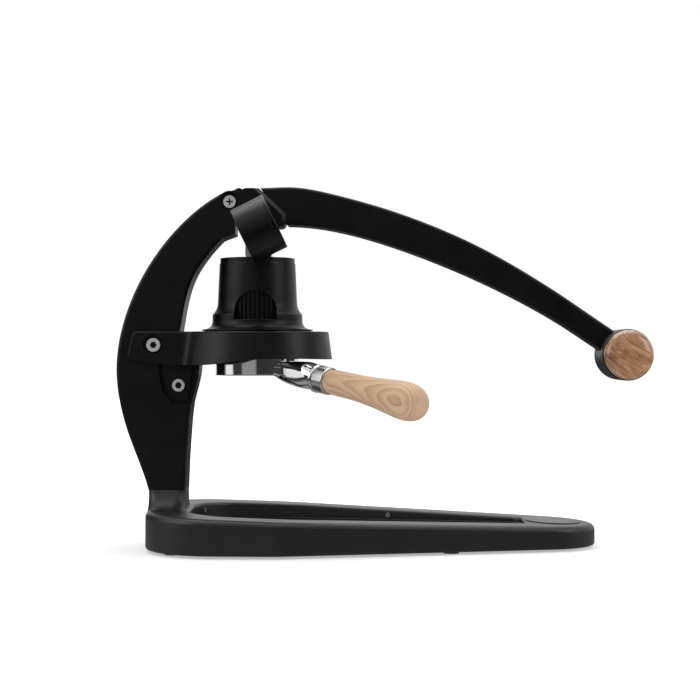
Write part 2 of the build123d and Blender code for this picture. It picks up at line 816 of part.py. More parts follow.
with BuildPart() as jacket:
    with BuildSketch(Plane.XZ):
        with BuildLine():
            Polyline((cylinder_radius + seat_gap, flange_top), (cylinder_radius + seat_gap, jacket_top),
                     (jacket_top_radius, jacket_top), (jacket_top_radius, jacket_top - jacket_rim_height),
                     (jacket_top_radius + jacket_rim_step, jacket_top - jacket_rim_height))
            Line((jacket_top_radius + jacket_rim_step, jacket_top - jacket_rim_height),
                 (jacket_waist_radius, jacket_waist_height))
            Spline((jacket_waist_radius, jacket_waist_height), (jacket_band_radius, band_top),
                   tangents=((0, -1), (1, -1)))
            Line((jacket_band_radius, band_top), (jacket_band_radius, jacket_band_bottom))
            flare = Spline((jacket_band_radius, jacket_band_bottom),
                           (jacket_foot_radius, jacket_foot + jacket_foot_rim),
                           tangents=((0, -1), (1, 0)))
            Polyline(flare @ 1, (jacket_foot_radius, jacket_foot), (jacket_spigot_radius, jacket_foot),
                     (jacket_spigot_radius, flange_top), (cylinder_radius + seat_gap, flange_top))
        make_face()
        fillet(vertices().sort_by_distance((jacket_band_radius, band_top))[0], jacket_rim_step * 2)
    revolve(axis=Axis.Z)
    add(window_cutter.part, mode=Mode.SUBTRACT)
    add(groove_cutter.part, mode=Mode.SUBTRACT)
write(jacket, "jacket")

# Bayonet collar: a lip with two notches, a groove for the lugs, and the gasket's seat
lug_angles = [lug_phase, lug_phase + half_turn]
notch_angles = [angle - unlock_angle for angle in lug_angles]
collar_outer_radius = ring_bore_radius - collar_side_gap
gasket_seat_radius = gasket_outer_radius + seat_gap

with BuildPart() as lock_collar:
    with BuildSketch(Plane.XZ):
        with BuildLine():
            Polyline((collar_mouth_radius, collar_bottom), (collar_outer_radius, collar_bottom),
                     (collar_outer_radius, flange_bottom), (gasket_seat_radius, flange_bottom),
                     (gasket_seat_radius, gasket_bottom), (collar_groove_radius, gasket_bottom),
                     (collar_groove_radius, lip_top), (collar_mouth_radius, lip_top), close=True)
        make_face()
    revolve(axis=Axis.Z)
    with BuildSketch(Plane.XY.offset(collar_bottom)):
        for angle in notch_angles:
            with BuildLine():
                arc = CenterArc((0, 0), collar_groove_radius, angle - notch_half_angle, 2 * notch_half_angle)
                Polyline(arc @ 1, (0, 0), arc @ 0)
            make_face()
    extrude(amount=collar_lip, mode=Mode.SUBTRACT)
    with BuildSketch(Plane.XY.offset(collar_bottom)):
        with PolarLocations(collar_screw_circle, collar_screw_count, start_angle=collar_screw_phase):
            Circle(collar_screw_radius + seat_gap)
    extrude(amount=flange_bottom - collar_bottom, mode=Mode.SUBTRACT)
write(lock_collar, "lock_collar")

# Screws that clamp the collar under the cylinder's flange
with BuildPart() as collar_screws:
    with BuildSketch(Plane.XY.offset(collar_bottom - collar_screw_head_height)):
        with PolarLocations(collar_screw_circle, collar_screw_count, start_angle=collar_screw_phase):
            Circle(collar_screw_head_radius)
    extrude(amount=collar_screw_head_height)
    with BuildSketch(Plane.XY.offset(collar_bottom)):
        with PolarLocations(collar_screw_circle, collar_screw_count, start_angle=collar_screw_phase):
            Circle(collar_screw_radius)
    extrude(amount=collar_screw_length)
    fillet(collar_screws.faces().group_by(Axis.Z)[0].edges(), collar_screw_radius / 2)
write(collar_screws, "collar_screws")

# Gasket and dispersion screen under the cylinder
with BuildPart() as group_gasket:
    with BuildSketch(Plane.XY.offset(gasket_bottom)):
        Circle(gasket_outer_radius)
        Circle(gasket_inner_radius, mode=Mode.SUBTRACT)
    extrude(amount=gasket_height)
write(group_gasket, "group_gasket")

with BuildPart() as dispersion_screen:
    with BuildSketch(Plane.XY.offset(screen_bottom)):
        Circle(screen_radius)
        Circle(screen_hole_radius, mode=Mode.SUBTRACT)
        for ring_radius, count in zip(screen_ring_radii, screen_ring_counts):
            with PolarLocations(ring_radius, count):
                Circle(screen_hole_radius, mode=Mode.SUBTRACT)
    extrude(amount=screen_thickness)
write(dispersion_screen, "dispersion_screen")

# Portafilter: an open ring with two lugs and a faceted neck
portafilter_bottom = ring_bottom - portafilter_skirt
along_grip = Vector(cos(radians(grip_azimuth)) * cos(radians(grip_tilt)),
                    -sin(radians(grip_azimuth)) * cos(radians(grip_tilt)), -sin(radians(grip_tilt)))
grip_plane = Plane(origin=(0, 0, portafilter_bottom + grip_axis_rise),
                   x_dir=(sin(radians(grip_azimuth)), cos(radians(grip_azimuth)), 0), z_dir=along_grip)
neck_waist = neck_start + (neck_end - neck_start) * neck_waist_share
ferrule_end = neck_end + ferrule_length
rod_start = neck_end - grip_rod_in_neck

with BuildPart() as portafilter_body:
    with BuildSketch(Plane.XY.offset(portafilter_bottom)):
        Circle(portafilter_radius)
        Circle(portafilter_bore, mode=Mode.SUBTRACT)
    extrude(amount=portafilter_top - portafilter_bottom)
    fillet(portafilter_body.faces().sort_by(Axis.Z)[0].edges(), portafilter_round)
    with BuildSketch(Plane.XY.offset(lug_bottom)):
        for angle in lug_angles:
            with BuildLine():
                outer = CenterArc((0, 0), lug_radius, angle - lug_half_angle, 2 * lug_half_angle)
                inner = CenterArc((0, 0), (portafilter_radius + portafilter_bore) / 2,
                                  angle - lug_half_angle, 2 * lug_half_angle)
                Line(outer @ 0, inner @ 0)
                Line(outer @ 1, inner @ 1)
            make_face()
    extrude(amount=lug_height)
    with BuildSketch(grip_plane.offset(neck_start)):
        RectangleRounded(neck_root_width, neck_root_height, neck_root_height * third_share)
    with BuildSketch(grip_plane.offset(neck_waist)):
        RectangleRounded(neck_waist_width, neck_waist_height, neck_waist_height * third_share)
    with BuildSketch(grip_plane.offset(neck_end)):
        RegularPolygon(neck_end_radius, neck_side_count, rotation=half_turn / neck_side_count)
    loft()
    with BuildSketch(grip_plane.offset(neck_end)):
        Circle(grip_rod_radius + seat_gap)
    extrude(amount=-grip_rod_in_neck, mode=Mode.SUBTRACT)
write(portafilter_body, "portafilter_body")

with BuildPart() as grip_ferrule:
    with BuildSketch(grip_plane.offset(neck_end)):
        Circle(ferrule_radius)
        Circle(grip_rod_radius + seat_gap, mode=Mode.SUBTRACT)
    extrude(amount=ferrule_length)
    fillet(grip_ferrule.edges().filter_by(GeomType.CIRCLE).group_by(SortBy.RADIUS)[-1], ferrule_round)
write(grip_ferrule, "grip_ferrule")

with BuildPart() as grip_rod:
    with BuildSketch(grip_plane.offset(rod_start)):
        Circle(grip_rod_radius)
    extrude(amount=grip_rod_length)
write(grip_rod, "grip_rod")

# Grip: turned wood, with its profile drawn along the grip's axis
section_plane = Plane(origin=grip_plane.origin, x_dir=along_grip, z_dir=grip_plane.x_dir)
with BuildPart() as portafilter_grip:
    with BuildSketch(section_plane):
        with BuildLine():
            body_line = Spline(*[(ferrule_end + grip_length * a, grip_radius * b) for a, b in grip_shares],
                               tangents=((1, 0), (0, -1)))
            Polyline(body_line @ 1, (ferrule_end, 0), body_line @ 0)
        make_face()
    revolve(axis=Axis(grip_plane.origin, along_grip))
    with BuildSketch(grip_plane.offset(ferrule_end)):
        Circle(grip_rod_radius + seat_gap)
    extrude(amount=rod_start + grip_rod_length - ferrule_end + seat_gap, mode=Mode.SUBTRACT)
write(portafilter_grip, "portafilter_grip")

# Filter basket, and the wire ring that holds it in the portafilter
basket_bottom = portafilter_top - basket_depth
basket_top = portafilter_top + basket_rim_height
basket_inner_radius = basket_radius - basket_wall
with BuildPart() as filter_basket:
    with BuildSketch(Plane.XZ):
        with BuildLine():
            Polyline((0, basket_bottom), (basket_radius, basket_bottom), (basket_radius, portafilter_top),
                     (basket_rim_radius, portafilter_top), (basket_rim_radius, basket_top),
                     (basket_inner_radius, basket_top), (basket_inner_radius, basket_bottom + basket_wall),
                     (0, basket_bottom + basket_wall), close=True)
        make_face()
        fillet(vertices().sort_by_distance((basket_radius, basket_bottom))[0], basket_bottom_round)
    revolve(axis=Axis.Z)
write(filter_basket, "filter_basket")

spring_radius = (portafilter_bore + basket_radius) / 2
with BuildPart() as basket_spring:
    with BuildSketch(Plane.XZ):
        with Locations((spring_radius, portafilter_top - spring_drop)):
            Circle(spring_wire)
    revolve(axis=Axis.Z, revolution_arc=full_turn - spring_gap_angle)
write(basket_spring, "basket_spring")

# Lever: a curved arm that ends in a fork of two cheeks round the post's tongue
tip_along = Vector(cos(radians(tip_angle)), -sin(radians(tip_angle)))
tip_normal = Vector(sin(radians(tip_angle)), cos(radians(tip_angle)))


def tip_point(along, across):
    """A side view point in the arm's tip, counted from the handle's centre."""
    return handle_centre + tip_along * along + tip_normal * across


tip_middle = (tip_above - tip_below) / 2
tip_half = (tip_above + tip_below) / 2
cheek_start = polar(pivot, cheek_radius, cheek_start_angle)
cheek_crown = pivot + Vector(cheek_crown_reach, cheek_top_rise)
cheek_top = pivot + Vector(cheek_top_reach, cheek_top_rise)
cheek_nose = pivot + Vector(cheek_nose_reach, -cheek_nose_drop)
cheek_heel = pivot + Vector(cheek_nose_reach, -cheek_heel_drop)
cheek_belly = pivot + Vector(cheek_belly_reach, -cheek_heel_drop)
fork_half = tongue_half_width + fork_gap

with BuildPart() as cheeks:
    with BuildSketch(Plane.XZ):
        with BuildLine():
            Polyline(cheek_start, cheek_crown, cheek_top, cheek_nose, cheek_heel, cheek_belly,
                     polar(link, link_boss_radius, link_angle - right_angle), link,
                     polar(link, link_boss_radius, half_turn + link_angle * third_share),
                     polar(pivot, cheek_radius, -cheek_neck_angle), pivot, cheek_start)
        make_face()
        with Locations(pivot_place):
            Circle(cheek_radius)
        with Locations(link_place):
            Circle(link_boss_radius)
        fillet(vertices().sort_by_distance(cheek_nose)[0], cheek_nose_round)
        fillet(vertices().sort_by_distance(cheek_heel)[0], cheek_heel_round)
    extrude(amount=cheek_half_width, both=True)
    bevel_edges = cheeks.edges().filter_by(
        lambda edge: abs(abs(edge.center().Y) - cheek_half_width) < turn_fit
        and edge.center().X > cheek_top.X
        and edge.center().Z > cheek_heel.Y + cheek_heel_round)
    chamfer(bevel_edges, cheek_bevel_in)

with BuildPart() as lever_arm:
    with BuildSketch(Plane.XZ):
        with BuildLine():
            Polyline(in_lever(lever_bottom_shares)[0], in_lever(lever_top_shares)[0])
            Spline(*in_lever(lever_top_shares), tip_point(-tip_bury, tip_above),
                   tangents=((1, 0), (tip_along.X, tip_along.Y)))
            Line(tip_point(-tip_bury, tip_above), tip_point(0, tip_above))
            ThreePointArc(tip_point(0, tip_above), tip_point(tip_half, tip_middle), tip_point(0, -tip_below))
            Line(tip_point(0, -tip_below), tip_point(-tip_bury, -tip_below))
            Spline(*in_lever(lever_bottom_shares), tip_point(-tip_bury, -tip_below),
                   tangents=((1, 0), (tip_along.X, tip_along.Y)))
        make_face()
    extrude(amount=arm_half_width, both=True)
    with BuildSketch(Plane.XY):
        with BuildLine():
            taper_end = handle_x + barrel_radius
            taper_start = cheek_nose.X
            Polyline((pivot.X, arm_half_width), (taper_start, arm_half_width),
                     (taper_end, arm_tip_half_width), (taper_end, -arm_tip_half_width),
                     (taper_start, -arm_half_width), (pivot.X, -arm_half_width), close=True)
        make_face()
    extrude(amount=pivot_height + cheek_top_reach, mode=Mode.INTERSECT)
    fillet(lever_arm.edges().filter_by(
        lambda edge: edge.length > (handle_x - pivot.X) / 2), arm_edge_round)
    add(cheeks.part)
    # the slot between the cheeks, open below and behind
    with BuildSketch(Plane.XZ):
        with BuildLine():
            floor_x = pivot.X + fork_floor_reach
            low = link.Y - link_boss_radius - overrun
            back = pivot.X - cheek_radius - overrun
            high = cheek_top.Y + overrun
            Polyline((floor_x, low), (floor_x, pivot.Y - fork_floor_drop),
                     pivot + Vector(fork_slant_reach, web_rise), pivot + Vector(web_reach, web_rise),
                     (pivot.X + web_reach, high), (back, high), (back, low), close=True)
        make_face()
    extrude(amount=fork_half, both=True, mode=Mode.SUBTRACT)
    # holes for the shaft and the link pin, recesses for the screws, eye at the tip
    with BuildSketch(*both_faces(cheek_half_width - screw_recess_depth, screw_recess_depth)):
        with Locations(pivot_place):
            Circle(screw_recess_radius)
    extrude(amount=screw_recess_depth, mode=Mode.SUBTRACT)
    with BuildSketch(Plane.XZ.offset(-cheek_half_width)):
        with Locations(pivot_place):
            Circle(shaft_radius + turn_fit)
        with Locations(link_place):
            Circle(link_pin_radius + turn_fit)
        with Locations(handle_place):
            Circle(handle_rod_radius + seat_gap)
    extrude(amount=2 * cheek_half_width, mode=Mode.SUBTRACT)
write(lever_arm, "lever_arm")

# Pivot shaft, its bushings in the tongue, and the screws at its ends
shaft_half = cheek_half_width - screw_recess_depth
with BuildPart() as pivot_shaft:
    with BuildSketch(Plane.XZ):
        with Locations(pivot_place):
            Circle(shaft_radius)
    extrude(amount=shaft_half, both=True)
    with BuildSketch(*both_faces(shaft_half - screw_length - seat_gap, screw_length + seat_gap)):
        with Locations(pivot_place):
            Circle(screw_shank_radius + seat_gap)
    extrude(amount=screw_length + seat_gap, mode=Mode.SUBTRACT)
write(pivot_shaft, "pivot_shaft")

with BuildPart() as pivot_bushings:
    with BuildSketch(*both_faces(tongue_half_width - bushing_length, bushing_length)):
        with Locations(pivot_place):
            Circle(shaft_radius + turn_fit + bushing_wall)
            Circle(shaft_radius + turn_fit, mode=Mode.SUBTRACT)
    extrude(amount=bushing_length)
write(pivot_bushings, "pivot_bushings")

with BuildPart() as pivot_screws:
    with BuildSketch(*both_faces(shaft_half, screw_head_height)):
        with Locations(pivot_place):
            Circle(screw_head_radius)
    extrude(amount=screw_head_height)
    with BuildSketch(*both_faces(shaft_half - screw_length, screw_length)):
        with Locations(pivot_place):
            Circle(screw_shank_radius)
    extrude(amount=screw_length)
    with BuildSketch(*both_faces(shaft_half + screw_head_height - screw_cross_depth, screw_cross_depth)):
        with Locations(pivot_place):
            Rectangle(screw_cross_length, screw_cross_width)
            Rectangle(screw_cross_width, screw_cross_length)
    extrude(amount=screw_cross_depth, mode=Mode.SUBTRACT)
write(pivot_screws, "pivot_screws")

# Link pin, with a spring clip in a groove outside each cheek
pin_half = cheek_half_width + link_pin_overhang
with BuildPart() as link_pin:
    with BuildSketch(Plane.XZ):
        with Locations(link_place):
            Circle(link_pin_radius)
    extrude(amount=pin_half, both=True)
    with BuildSketch(*both_faces(cheek_half_width, clip_thickness + 2 * seat_gap)):
        with Locations(link_place):
            Circle(link_pin_radius + seat_gap)
            Circle(link_pin_radius - clip_groove, mode=Mode.SUBTRACT)
    extrude(amount=clip_thickness + 2 * seat_gap, mode=Mode.SUBTRACT)
write(link_pin, "link_pin")

with BuildPart() as link_pin_clips:
    with BuildSketch(*both_faces(cheek_half_width + seat_gap, clip_thickness)):
        with Locations(link_place):
            Circle(clip_outer_radius)
            Circle(link_pin_radius - clip_groove + seat_gap / 2, mode=Mode.SUBTRACT)
        with Locations((link.X, link.Y - clip_outer_radius)):
            Rectangle(clip_mouth_width, clip_outer_radius * 2, mode=Mode.SUBTRACT)
    extrude(amount=clip_thickness)
write(link_pin_clips, "link_pin_clips")

# Handle: a crosswise barrel on the arm's tip, with a wooden cap at each end
with BuildPart() as handle_barrel:
    with BuildSketch(Plane.XZ):
        with Locations(handle_place):
            Circle(barrel_radius)
    extrude(amount=barrel_half_width, both=True)
    chamfer(handle_barrel.edges(), barrel_edge)
    with BuildSketch(Plane.XZ):
        with BuildLine():
            side = tip_socket_gap
            Line(tip_point(-barrel_radius * 2, tip_above + side), tip_point(0, tip_above + side))
            ThreePointArc(tip_point(0, tip_above + side), tip_point(tip_half + side, tip_middle),
                          tip_point(0, -tip_below - side))
            Polyline(tip_point(0, -tip_below - side), tip_point(-barrel_radius * 2, -tip_below - side),
                     tip_point(-barrel_radius * 2, tip_above + side))
        make_face()
    socket_taper = (arm_half_width - arm_tip_half_width) * (barrel_radius * 2) / (taper_end - taper_start)
    extrude(amount=arm_tip_half_width + socket_taper + tip_socket_gap, both=True, mode=Mode.SUBTRACT)
    with BuildSketch(Plane.XZ.offset(-barrel_half_width)):
        with Locations(handle_place):
            Circle(handle_rod_radius + seat_gap)
    extrude(amount=2 * barrel_half_width, mode=Mode.SUBTRACT)
write(handle_barrel, "handle_barrel")

cap_plane = Plane(origin=(handle_x, barrel_half_width, handle_height), x_dir=(1, 0, 0), z_dir=(0, 0, 1))
cap_shoulder = cap_thickness - cap_dome
with BuildPart() as handle_caps:
    with BuildSketch(cap_plane):
        with BuildLine():
            crown = TangentArc((0, cap_thickness), (cap_radius, cap_shoulder), tangent=(1, 0))
            Polyline(crown @ 1, (cap_radius, 0), (0, 0), crown @ 0)
        make_face()
        fillet(vertices().sort_by_distance((cap_radius, cap_shoulder))[0], cap_edge_round)
    revolve(axis=Axis((handle_x, 0, handle_height), (0, 1, 0)))
    mirror(about=Plane.XZ)
    with BuildSketch(Plane.XZ.offset(-barrel_half_width - handle_rod_bite - seat_gap)):
        with Locations(handle_place):
            Circle(handle_rod_radius + seat_gap)
    extrude(amount=2 * (barrel_half_width + handle_rod_bite + seat_gap), mode=Mode.SUBTRACT)
write(handle_caps, "handle_caps")

with BuildPart() as handle_rod:
    with BuildSketch(Plane.XZ):
        with Locations(handle_place):
            Circle(handle_rod_radius)
    extrude(amount=barrel_half_width + handle_rod_bite, both=True)
write(handle_rod, "handle_rod")

# Plunger: crosshead, stem and piston
slot_low_x = link.X - link_pin_radius - link_side_play
slot_high_x = pivot.X + link_radius + link_pin_radius + link_side_play
slot_height = 2 * (link_pin_radius + link_lift_play)
head_bottom = link.Y - head_below_pin
head_top = link.Y + slot_height / 2 + head_cap
tube_height = link.Y - tube_below_pin
piston_bottom = spigot_bottom + piston_lift
piston_top = piston_bottom + piston_height
stem_bottom = piston_top - stem_socket
stem_top = head_bottom + stem_socket

with BuildPart() as plunger_head:
    with BuildSketch(Plane.XZ):
        with BuildLine():
            Polyline((-head_back_reach, head_bottom), (head_front_reach, head_bottom),
                     (head_front_reach, head_top), (-head_back_reach, head_top), close=True)
        make_face()
        fillet(vertices(), head_round)
        with Locations(((slot_low_x + slot_high_x) / 2, link.Y)):
            SlotOverall(slot_high_x - slot_low_x, slot_height, mode=Mode.SUBTRACT)
    extrude(amount=head_half_width, both=True)
    with BuildSketch(Plane.XY.offset(head_bottom)):
        Circle(stem_radius + seat_gap)
    extrude(amount=stem_socket, mode=Mode.SUBTRACT)
    with BuildSketch(Plane.XZ.offset(head_half_width - tube_socket)):
        with Locations((0, tube_height)):
            Circle(tube_radius + seat_gap)
    extrude(amount=tube_socket, mode=Mode.SUBTRACT)
write(plunger_head, "plunger_head")

with BuildPart() as plunger_stem:
    with BuildSketch(Plane.XY.offset(stem_bottom)):
        Circle(stem_radius)
    extrude(amount=stem_top - stem_bottom)
write(plunger_stem, "plunger_stem")

seal_heights = [piston_bottom + seal_first, piston_bottom + seal_first + seal_pitch]
seal_outer = bore_radius - seal_fit
with BuildPart() as piston:
    with BuildSketch(Plane.XY.offset(piston_bottom)):
        Circle(piston_radius)
    extrude(amount=piston_height)
    chamfer(piston.edges(), piston_edge)
    with BuildSketch(Plane.XY.offset(stem_bottom)):
        Circle(stem_radius + seat_gap)
    extrude(amount=stem_socket + seat_gap, mode=Mode.SUBTRACT)
    for height in seal_heights:
        with BuildSketch(Plane.XY.offset(height)):
            Circle(bore_radius)
            Circle(seal_outer - seal_depth - seat_gap, mode=Mode.SUBTRACT)
        extrude(amount=seal_height, mode=Mode.SUBTRACT)
write(piston, "piston")

with BuildPart() as piston_seals:
    for height in seal_heights:
        with BuildSketch(Plane.XY.offset(height + seat_gap)):
            Circle(seal_outer)
            Circle(seal_outer - seal_depth, mode=Mode.SUBTRACT)
        extrude(amount=seal_height - 2 * seat_gap)
write(piston_seals, "piston_seals")

# Pressure gauge: a drum beside the crosshead, tilted up towards the user
gauge_axis = Vector(cos(radians(gauge_tilt)), 0, sin(radians(gauge_tilt)))
gauge_plane = Plane(origin=(gauge_x, -gauge_reach, link.Y - gauge_drop), x_dir=(0, 1, 0), z_dir=gauge_axis)
case_back = -gauge_depth / 2
case_front = gauge_depth / 2 - gauge_bezel_depth
glass_bottom = case_front
dial_top = case_front - dial_drop
dial_radius = gauge_radius - gauge_wall - seat_gap
spindle_bottom = dial_top - dial_thickness - needle_bearing

with BuildPart() as gauge_case:
    with BuildSketch(gauge_plane.offset(case_back)):
        Circle(gauge_radius)
    extrude(amount=case_front - case_back)
    fillet(gauge_case.faces().sort_by(Axis(gauge_plane.origin, gauge_axis))[0].edges(), gauge_back_round)
    with BuildSketch(gauge_plane.offset(case_back + gauge_wall)):
        Circle(gauge_radius - gauge_wall)
    extrude(amount=gauge_depth, mode=Mode.SUBTRACT)
write(gauge_case, "gauge_case")

with BuildPart() as gauge_bezel:
    with BuildSketch(gauge_plane.offset(case_front)):
        Circle(gauge_radius)
        Circle(gauge_radius - gauge_wall, mode=Mode.SUBTRACT)
    extrude(amount=gauge_bezel_depth)
    with BuildSketch(gauge_plane.offset(case_front + glass_thickness + seat_gap)):
        Circle(gauge_radius - gauge_wall / 2)
        Circle(gauge_radius - gauge_bezel_lip, mode=Mode.SUBTRACT)
    extrude(amount=gauge_bezel_depth - glass_thickness - seat_gap)
    fillet(gauge_bezel.faces().sort_by(Axis(gauge_plane.origin, gauge_axis))[-1].edges(), gauge_bezel_round)
write(gauge_bezel, "gauge_bezel")

with BuildPart() as gauge_glass:
    with BuildSketch(gauge_plane.offset(glass_bottom)):
        Circle(dial_radius)
    extrude(amount=glass_thickness)
write(gauge_glass, "gauge_glass")

with BuildPart() as gauge_dial:
    with BuildSketch(gauge_plane.offset(dial_top - dial_thickness)):
        Circle(dial_radius)
        Circle(needle_spindle_radius + running_gap, mode=Mode.SUBTRACT)
    extrude(amount=dial_thickness)
write(gauge_dial, "gauge_dial")

# Movement block that carries the dial and the needle's spindle
with BuildPart() as gauge_movement:
    with BuildSketch(gauge_plane.offset(case_back + gauge_wall)):
        Circle(movement_radius)
    extrude(amount=dial_top - dial_thickness - case_back - gauge_wall)
    with BuildSketch(gauge_plane.offset(dial_top - dial_thickness)):
        Circle(needle_spindle_radius + turn_fit)
    extrude(amount=-needle_bearing - seat_gap, mode=Mode.SUBTRACT)
write(gauge_movement, "gauge_movement")

with BuildPart() as gauge_needle:
    with BuildSketch(gauge_plane.offset(dial_top + needle_clear)):
        Circle(needle_hub_radius)
    extrude(amount=needle_hub_height)
    tip = polar(Vector(0, 0), needle_length, needle_rest_angle)
    tail = polar(Vector(0, 0), needle_tail, needle_rest_angle + half_turn)
    across = Vector(-sin(radians(needle_rest_angle)), cos(radians(needle_rest_angle))) * (needle_width / 2)
    with BuildSketch(gauge_plane.offset(dial_top + needle_clear)):
        with BuildLine():
            Polyline(tip, across, tail + across, tail - across, -across, close=True)
        make_face()
    extrude(amount=needle_thickness)
    with BuildSketch(gauge_plane.offset(spindle_bottom)):
        Circle(needle_spindle_radius)
    extrude(amount=dial_top + needle_clear - spindle_bottom)
write(gauge_needle, "gauge_needle")

# Tube from the crosshead to the gauge, with its nut
with BuildPart() as gauge_tube:
    with BuildSketch(Plane.XZ.offset(head_half_width - tube_socket)):
        with Locations((0, tube_height)):
            Circle(tube_radius)
            Circle(tube_bore, mode=Mode.SUBTRACT)
    extrude(amount=gauge_reach - head_half_width + tube_socket)
    with BuildSketch(gauge_plane.offset(case_back - overrun)):
        Circle(gauge_radius)
    extrude(amount=gauge_depth + 2 * overrun, mode=Mode.SUBTRACT)
write(gauge_tube, "gauge_tube")

with BuildPart() as tube_nut:
    with BuildSketch(Plane.XZ.offset(head_half_width)):
        with Locations((0, tube_height)):
            RegularPolygon(tube_nut_radius, hex_sides)
            Circle(tube_radius + seat_gap / 2, mode=Mode.SUBTRACT)
    extrude(amount=tube_nut_length)
write(tube_nut, "tube_nut")
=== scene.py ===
import math

import bmesh
import bpy
from mathutils import Matrix, Vector


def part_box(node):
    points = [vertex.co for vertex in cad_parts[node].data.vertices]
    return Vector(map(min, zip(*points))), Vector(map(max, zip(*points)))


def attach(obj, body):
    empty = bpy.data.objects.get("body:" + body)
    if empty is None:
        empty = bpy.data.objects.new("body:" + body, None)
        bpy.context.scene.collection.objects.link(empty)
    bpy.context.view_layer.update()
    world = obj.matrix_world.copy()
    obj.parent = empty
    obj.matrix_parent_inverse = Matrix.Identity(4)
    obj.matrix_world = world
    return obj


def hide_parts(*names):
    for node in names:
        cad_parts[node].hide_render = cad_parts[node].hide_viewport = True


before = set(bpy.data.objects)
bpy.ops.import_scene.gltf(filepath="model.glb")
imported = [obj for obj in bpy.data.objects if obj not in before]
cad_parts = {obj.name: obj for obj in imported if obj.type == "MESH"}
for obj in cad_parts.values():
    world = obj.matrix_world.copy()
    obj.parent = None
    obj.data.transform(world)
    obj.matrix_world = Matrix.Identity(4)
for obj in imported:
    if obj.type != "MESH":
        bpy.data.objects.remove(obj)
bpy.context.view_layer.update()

# Lengths are metres in the frame of the CAD model: X runs along the base towards the handle, Y away
# from the camera, Z up. The brew axis is the line X = 0, Y = 0.
FORWARD = Vector((1.0, 0.0, 0.0))
AWAY = Vector((0.0, 1.0, 0.0))
UP = Vector((0.0, 0.0, 1.0))

# Camera: the photograph is a level side view. The focal length is in image widths.
CAMERA_PLACE = (0.0758, -1.314, 0.1604)
FOCAL_WIDTHS = 1602 / 700
SENSOR_WIDTH = 36.0
LEVEL_VIEW = math.radians(90.0)

# Portafilter: where its handle points, how high the handle's axis meets the brew axis, the distances
# out along it to the ends of the ferrule and of the grip, the grip's droop and the lean of its grain
GRIP_AZIMUTH = math.radians(-45.0)
GRIP_TILT = math.radians(8.5)
GRIP_AXIS_HEIGHT = 0.1486
FERRULE_END = 0.0865
GRIP_END = 0.186
GRIP_SAG = 0.0024
GRAIN_LEAN = math.radians(4.0)

# Gauge: the tilt of its dial, and the needle's direction at rest and sweep, in degrees
GAUGE_TILT = math.radians(26.0)
NEEDLE_REST = 225.0
NEEDLE_SWEEP = 270.0


# Small steps that the materials share

def new_material(name):
    """A node material, with its tree and shader."""
    mat = bpy.data.materials.new(name)
    mat.use_nodes = True
    return mat, mat.node_tree, mat.node_tree.nodes["Principled BSDF"]


def node(tree, kind, values=None, **settings):
    """A new node with its settings and unlinked input values."""
    made = tree.nodes.new(kind)
    for key, value in settings.items():
        setattr(made, key, value)
    for key, value in (values or {}).items():
        made.inputs[key].default_value = value
    return made


def coordinates(tree, turn=(0.0, 0.0, 0.0), shares=(1.0, 1.0, 1.0)):
    """The object's coordinates in metres along turned axes. A small share draws a pattern out that way."""
    source = node(tree, "ShaderNodeTexCoord")
    scale = [1 / share for share in shares]
    mapping = node(tree, "ShaderNodeMapping", {"Rotation": turn, "Scale": scale}, vector_type="TEXTURE")
    tree.links.new(source.outputs["Object"], mapping.inputs["Vector"])
    return mapping.outputs["Vector"]


def noise(tree, vector, scale, detail=2.0, roughness=0.5, distortion=0.0):
    """Soft noise from about 0.3 to 0.7."""
    made = node(tree, "ShaderNodeTexNoise", {
        "Scale": scale, "Detail": detail, "Roughness": roughness, "Distortion": distortion})
    tree.links.new(vector, made.inputs["Vector"])
    return made.outputs["Fac"]


def spread(tree, value, low, high, from_low=0.3, from_high=0.7):
    """The value, mapped from its usual range to another one."""
    made = node(tree, "ShaderNodeMapRange", {
        "From Min": from_low, "From Max": from_high, "To Min": low, "To Max": high})
    tree.links.new(value, made.inputs["Value"])
    return made.outputs["Result"]


def ramp(tree, value, stops):
    """Colours along a value, from (place, colour) pairs."""
    made = node(tree, "ShaderNodeValToRGB")
    elements = made.color_ramp.elements
    while len(elements) < len(stops):
        elements.new(0.5)
    for element, (place, colour) in zip(elements, stops):
        element.position = place
        element.color = (*colour, 1.0)
    tree.links.new(value, made.inputs["Fac"])
    return made.outputs["Color"]


def joined(tree, operation, first, second):
    """Two values or two vectors put together by one operation; a plain value may stand for the second."""
    kind = "ShaderNodeVectorMath" if first.type == "VECTOR" else "ShaderNodeMath"
    made = node(tree, kind, operation=operation)
    tree.links.new(first, made.inputs[0])
    if isinstance(second, bpy.types.NodeSocket):
        tree.links.new(second, made.inputs[1])
    else:
        made.inputs[1].default_value = second
    return made.outputs[0]


def blend(tree, share, first, second):
    """A mix of two values, each a number or a socket: the first at share 0, the second at share 1."""
    made = node(tree, "ShaderNodeMix", data_type="FLOAT")
    for key, value in (("Factor", share), ("A", first), ("B", second)):
        if isinstance(value, bpy.types.NodeSocket):
            tree.links.new(value, made.inputs[key])
        else:
            made.inputs[key].default_value = value
    return made.outputs["Result"]


def bump(tree, shader, height, strength, distance, edge_round=0.0):
    """A fine relief over the surface, and edges that catch the light where a round is given."""
    made = node(tree, "ShaderNodeBump", {"Strength": strength, "Distance": distance})
    tree.links.new(height, made.inputs["Height"])
    if edge_round:
        edges = node(tree, "ShaderNodeBevel", {"Radius": edge_round}, samples=6)
        tree.links.new(edges.outputs["Normal"], made.inputs["Normal"])
    tree.links.new(made.outputs["Normal"], shader.inputs["Normal"])


# Kinds of material

